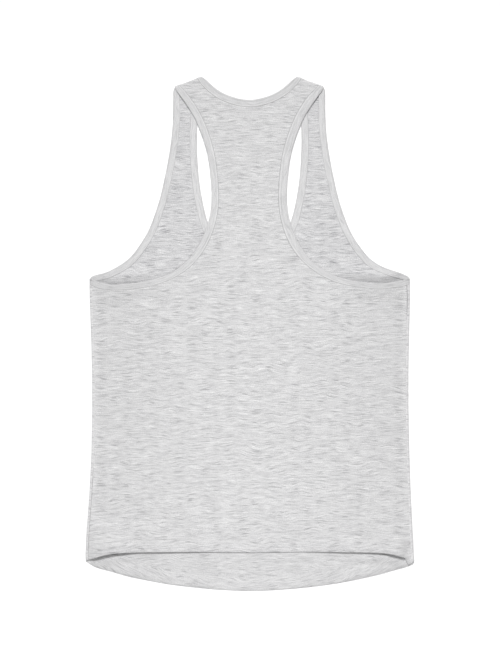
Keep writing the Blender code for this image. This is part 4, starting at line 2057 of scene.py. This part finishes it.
@dataclass
class Stitching:
    """Rows of thread on one piece, joined to one mesh."""

    name: str
    finish: SewingThread
    pitch: float = 2.8
    length: float = 2.1
    thickness: float = 0.17
    looper_rise: float = 0.08

    def row(self, line: Array, ways: Array) -> list[Stitch]:
        """One stitch after another along a line.

        Args:
            line: places in space.
            ways: the way out of the cloth at each.

        Returns:
            Start, end and way out of each stitch.
        """
        both = evenly(np.concatenate((line, ways), axis=1), self.pitch)
        half = self.length / self.pitch / 2.0
        made = []
        for here, there in zip(both[:-1], both[1:]):
            middle, step = (here + there) / 2.0, there - here
            start, end = middle - step * half, middle + step * half
            made.append((start[:3], end[:3], middle[3:]))
        return made

    def looper(self, near: Array, far: Array, way: Array) -> list[Stitch]:
        """The crossing threads under a twin-needle row.

        Args:
            near: one needle row, in space.
            far: the other.
            way: the way out of the cloth.

        Returns:
            Start, end and way out of each crossing.
        """
        count = round(len(evenly(near, self.pitch)) * 2)
        steps = np.linspace(0.0, 1.0, count)
        first, second = (
            sampled(row, np.linspace(0.0, 1.0, len(row)), steps) for row in (near, far)
        )
        made = []
        for i in range(count - 2):
            made.append((first[i], second[i + 1], way))
            made.append((second[i], first[i + 1], way))
        return made

    def build(self, stitches: Sequence[Stitch]) -> bpy.types.Object:
        """Join one short round of thread for each stitch to one piece.

        Args:
            stitches: where they are.

        Returns:
            The piece.
        """
        round_of_thread = bmesh.new()
        bmesh.ops.create_uvsphere(round_of_thread, u_segments=6, v_segments=4, radius=0.5)
        corners = np.array([corner.co[:] for corner in round_of_thread.verts])
        mesh = bpy.data.meshes.new(self.name)
        round_of_thread.to_mesh(mesh)
        round_of_thread.free()
        work = bmesh.new()
        placed = []
        for start, end, way in stitches:
            work.from_mesh(mesh)
            unit = (end - start) / np.linalg.norm(end - start)
            side = np.cross(way, unit)
            side /= np.linalg.norm(side)
            thick = 2.0 * self.thickness
            axes = np.array((side * thick, np.cross(unit, side) * thick, end - start))
            placed.append((start + end) / 2.0 + corners @ axes)
        bpy.data.meshes.remove(mesh)
        for corner, point in zip(work.verts, np.concatenate(placed)):
            corner.co = point
        return finished(work, self.name, self.finish.material())


@dataclass
class Studio:
    """Plain pale floor, soft light and the camera straight above."""

    camera_height: float = 3.0
    camera_along: float = 0.0006
    camera_reach: float = 50.0
    picture_height: float = 0.88044
    sensor: float = 36.0
    floor_size: float = 24.0
    floor_drop: float = 0.00005
    floor_tone: float = 0.93
    floor_glow: float = 0.06
    sky: float = 0.24
    key_strength: float = 2.5
    key_tilt: float = math.radians(35.0)
    key_turn: float = math.radians(6.0)
    key_softness: float = math.radians(12.0)
    top_power: float = 2.3
    top_height: float = 0.45
    top_width: float = 0.22
    top_length: float = 1.7
    top_along: float = -0.32

    def build(self) -> None:
        """Set all of it up."""
        self.floor()
        self.lights()
        self.camera()
        bpy.context.scene.view_settings.view_transform = "Standard"

    def floor(self) -> None:
        """Pale board that is lit evenly from within a little."""
        work = bmesh.new()
        bmesh.ops.create_grid(work, x_segments=1, y_segments=1, size=self.floor_size / 2.0)
        bmesh.ops.translate(work, verts=work.verts[:], vec=(0.0, 0.0, -self.floor_drop))
        mesh = bpy.data.meshes.new("floor")
        work.to_mesh(mesh)
        work.free()
        board = Board("pale_floor")
        tone = self.floor_tone
        board.give(
            {
                "Base Color": (tone, tone, tone, 1.0),
                "Roughness": 1.0,
                "Specular IOR Level": 0.0,
                "Emission Color": (1.0, 1.0, 1.0, 1.0),
                "Emission Strength": self.floor_glow,
            }
        )
        mesh.materials.append(board.material)
        floor = bpy.data.objects.new("floor", mesh)
        bpy.context.scene.collection.objects.link(floor)
        floor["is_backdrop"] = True

    def lights(self) -> None:
        """A soft key over the shoulders, a long box overhead and an even sky."""
        scene = bpy.context.scene
        world = bpy.data.worlds.new("studio")
        world.use_nodes = True
        sky = world.node_tree.nodes["Background"]
        sky.inputs["Color"].default_value = (1.0, 1.0, 1.0, 1.0)
        sky.inputs["Strength"].default_value = self.sky
        scene.world = world
        key = bpy.data.lights.new("key", "SUN")
        key.energy = self.key_strength
        key.angle = self.key_softness
        key_object = bpy.data.objects.new("key", key)
        away, turn = math.sin(self.key_tilt), self.key_turn
        rise = math.cos(self.key_tilt)
        source = Vector((-away * math.sin(turn), away * math.cos(turn), rise))
        key_object.rotation_euler = source.to_track_quat("Z", "Y").to_euler()
        key_object.location = source * 2.0
        scene.collection.objects.link(key_object)
        top = bpy.data.lights.new("overhead", "AREA")
        top.shape = "RECTANGLE"
        top.size = self.top_width
        top.size_y = self.top_length
        top.energy = self.top_power
        top_object = bpy.data.objects.new("overhead", top)
        top_object.location = (0.0, self.top_along, self.top_height)
        scene.collection.objects.link(top_object)

    def camera(self) -> None:
        """Straight above the middle, looking down, shoulders up."""
        camera = bpy.data.cameras.new("camera")
        camera.sensor_width = self.sensor
        camera.lens = self.sensor * self.camera_height / self.picture_height
        camera.clip_end = self.camera_reach
        made = bpy.data.objects.new("camera", camera)
        made.location = (0.0, self.camera_along, self.camera_height)
        bpy.context.scene.collection.objects.link(made)
        bpy.context.scene.camera = made


def hem_lines(panel: Panel, spacing: float = 1.2) -> list[tuple[Array, Array]]:
    """Both needle rows of a panel's hem, on its right side and its wrong side.

    Args:
        panel: the panel that the hem belongs to.
        spacing: distance from point to point.

    Returns:
        For each side of the cloth, the near row and the far row.
    """
    made = []
    for deep in (0.0, 1.0):
        pair = []
        for needle in panel.hem.needles:
            right = panel.hem.inward(needle, panel.across, spacing)
            flat = np.concatenate((right[::-1] * (-1.0, 1.0), right[1:]))
            distance = np.full(len(flat), needle)
            depth = panel.depth(np.full(len(flat), deep), distance)
            pair.append(DRAFT.place(panel.layer, flat, depth, np.zeros(len(flat))))
        made.append((pair[0], pair[1]))
    return made


def sew_hem(panel: Panel, name: str, thread: SewingThread) -> bpy.types.Object:
    """Sew twin-needle rows on the right side of a hem and loopers on its wrong side.

    Args:
        panel: the panel that the hem belongs to.
        name: name of the piece.
        thread: its finish.

    Returns:
        The piece.
    """
    stitching = Stitching(name, thread)
    lower = panel.layer is Layer.LOWER
    way = np.array((0.0, 0.0, -1.0 if lower else 1.0))
    right, wrong = hem_lines(panel)
    stitches = []
    for line in right:
        sunk = line - way * (stitching.thickness if lower else 0.0)
        stitches += stitching.row(sunk, np.tile(way, (len(line), 1)))
    near, far = (line - way * stitching.looper_rise for line in wrong)
    return stitching.build(stitches + stitching.looper(near, far, -way))


def sew_binding(binding: Binding, name: str, thread: SewingThread) -> bpy.types.Object:
    """Sew the edge stitch that holds a binding, on both of its faces.

    Args:
        binding: the binding.
        name: name of the piece.
        thread: its finish.

    Returns:
        The piece.
    """
    stitching = Stitching(name, thread, pitch=2.5, length=1.9)
    stitches = []
    for line, ways in binding.stitch_lines():
        stitches += stitching.row(line, ways)
    return stitching.build(stitches)


@dataclass(frozen=True)
class Standing:
    """What a cloth stands for: a solid of the part, its slot and its flat cut in metres."""

    node: str
    slot: str
    width: float
    length: float
    area: float | None = None

    def dress(self, piece: bpy.types.Object, sewn: bpy.types.Object) -> None:
        """Attach a cloth and the thread that is sewn on it to the body, and hide the solid of the
        part that it replaces.

        Args:
            piece: the cloth.
            sewn: its stitches.
        """
        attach(piece, BODY)
        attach(sewn, BODY)
        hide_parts(self.node)
        LOG.info("%s rides on %s in place of %s", piece.name, BODY, self.node)


def armhole_binding(hand: Hand) -> ArmholeBinding:
    """Choose the binding of one armhole.

    Args:
        hand: which armhole.

    Returns:
        Its maker.
    """
    side = hand.name.lower()
    finish = HeatherJersey(
        f"jersey_of_{side}_armhole_binding",
        streak=0.5,
        bound=True,
        # Painted shade where the binding rolls under at the underarm, between these places along
        # the ring.
        underarm_shade_run=(392.0, 468.0),
        seed=130.0 + 20.0 * hand.value,
    )
    return ArmholeBinding(
        f"armhole_binding_{side}_cloth",
        finish,
        back_width=11.4 if hand is Hand.RIGHT else 9.7,
        front_width=9.1,
        fold_width=8.6,
        hand=hand,
    )


def main() -> None:
    """Build every piece in order, then the studio."""
    logging.basicConfig(level=logging.INFO, format="%(name)s %(message)s")
    thread = SewingThread("sewing_thread")
    hem_thread = SewingThread("hem_thread", tone=0.52)
    front_finish = HeatherJersey("jersey_of_front", streak=0.89, seed=7.0)
    front = Panel("front_cloth", Layer.LOWER, FRONT_HEM, front_finish)
    back_finish = HeatherJersey("jersey_of_back", streak=1.05)
    back = Panel("back_cloth", Layer.UPPER, BACK_HEM, back_finish)
    neck = NeckBinding(
        "neck_binding_cloth",
        # The neck binding has painted shade along its rim.
        HeatherJersey("jersey_of_neck_binding", streak=0.5, bound=True, painted_rim_shade=0.10, seed=91.0),
    )
    plan = [
        (
            front,
            sew_hem(front, "front_hem_stitching", hem_thread),
            Standing("front_panel", "jersey_front", 0.444, 0.70, 0.213),
        ),
        (
            back,
            sew_hem(back, "back_hem_stitching", hem_thread),
            Standing("back_panel", "jersey_back", 0.425, 0.66, 0.187),
        ),
        (
            neck,
            sew_binding(neck, "neck_stitching", thread),
            Standing("neck_binding", "jersey_neck", 0.0105, 0.685),
        ),
    ]
    for hand in Hand:
        side = hand.name.lower()
        arm = armhole_binding(hand)
        sewn = sew_binding(arm, f"armhole_stitching_{side}", thread)
        node, slot = f"armhole_binding_{side}", f"jersey_arm_{side}"
        plan.append((arm, sewn, Standing(node, slot, 0.0105, 0.70)))
    for maker, sewn, standing in plan:
        standing.dress(maker.build(), sewn)
    Studio().build()
    boxes = {"cad": CAD_BOX, "visual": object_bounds()}
    {name: [list(corner) for corner in box] for name, box in boxes.items()}


if __name__ == "__main__":
    main()
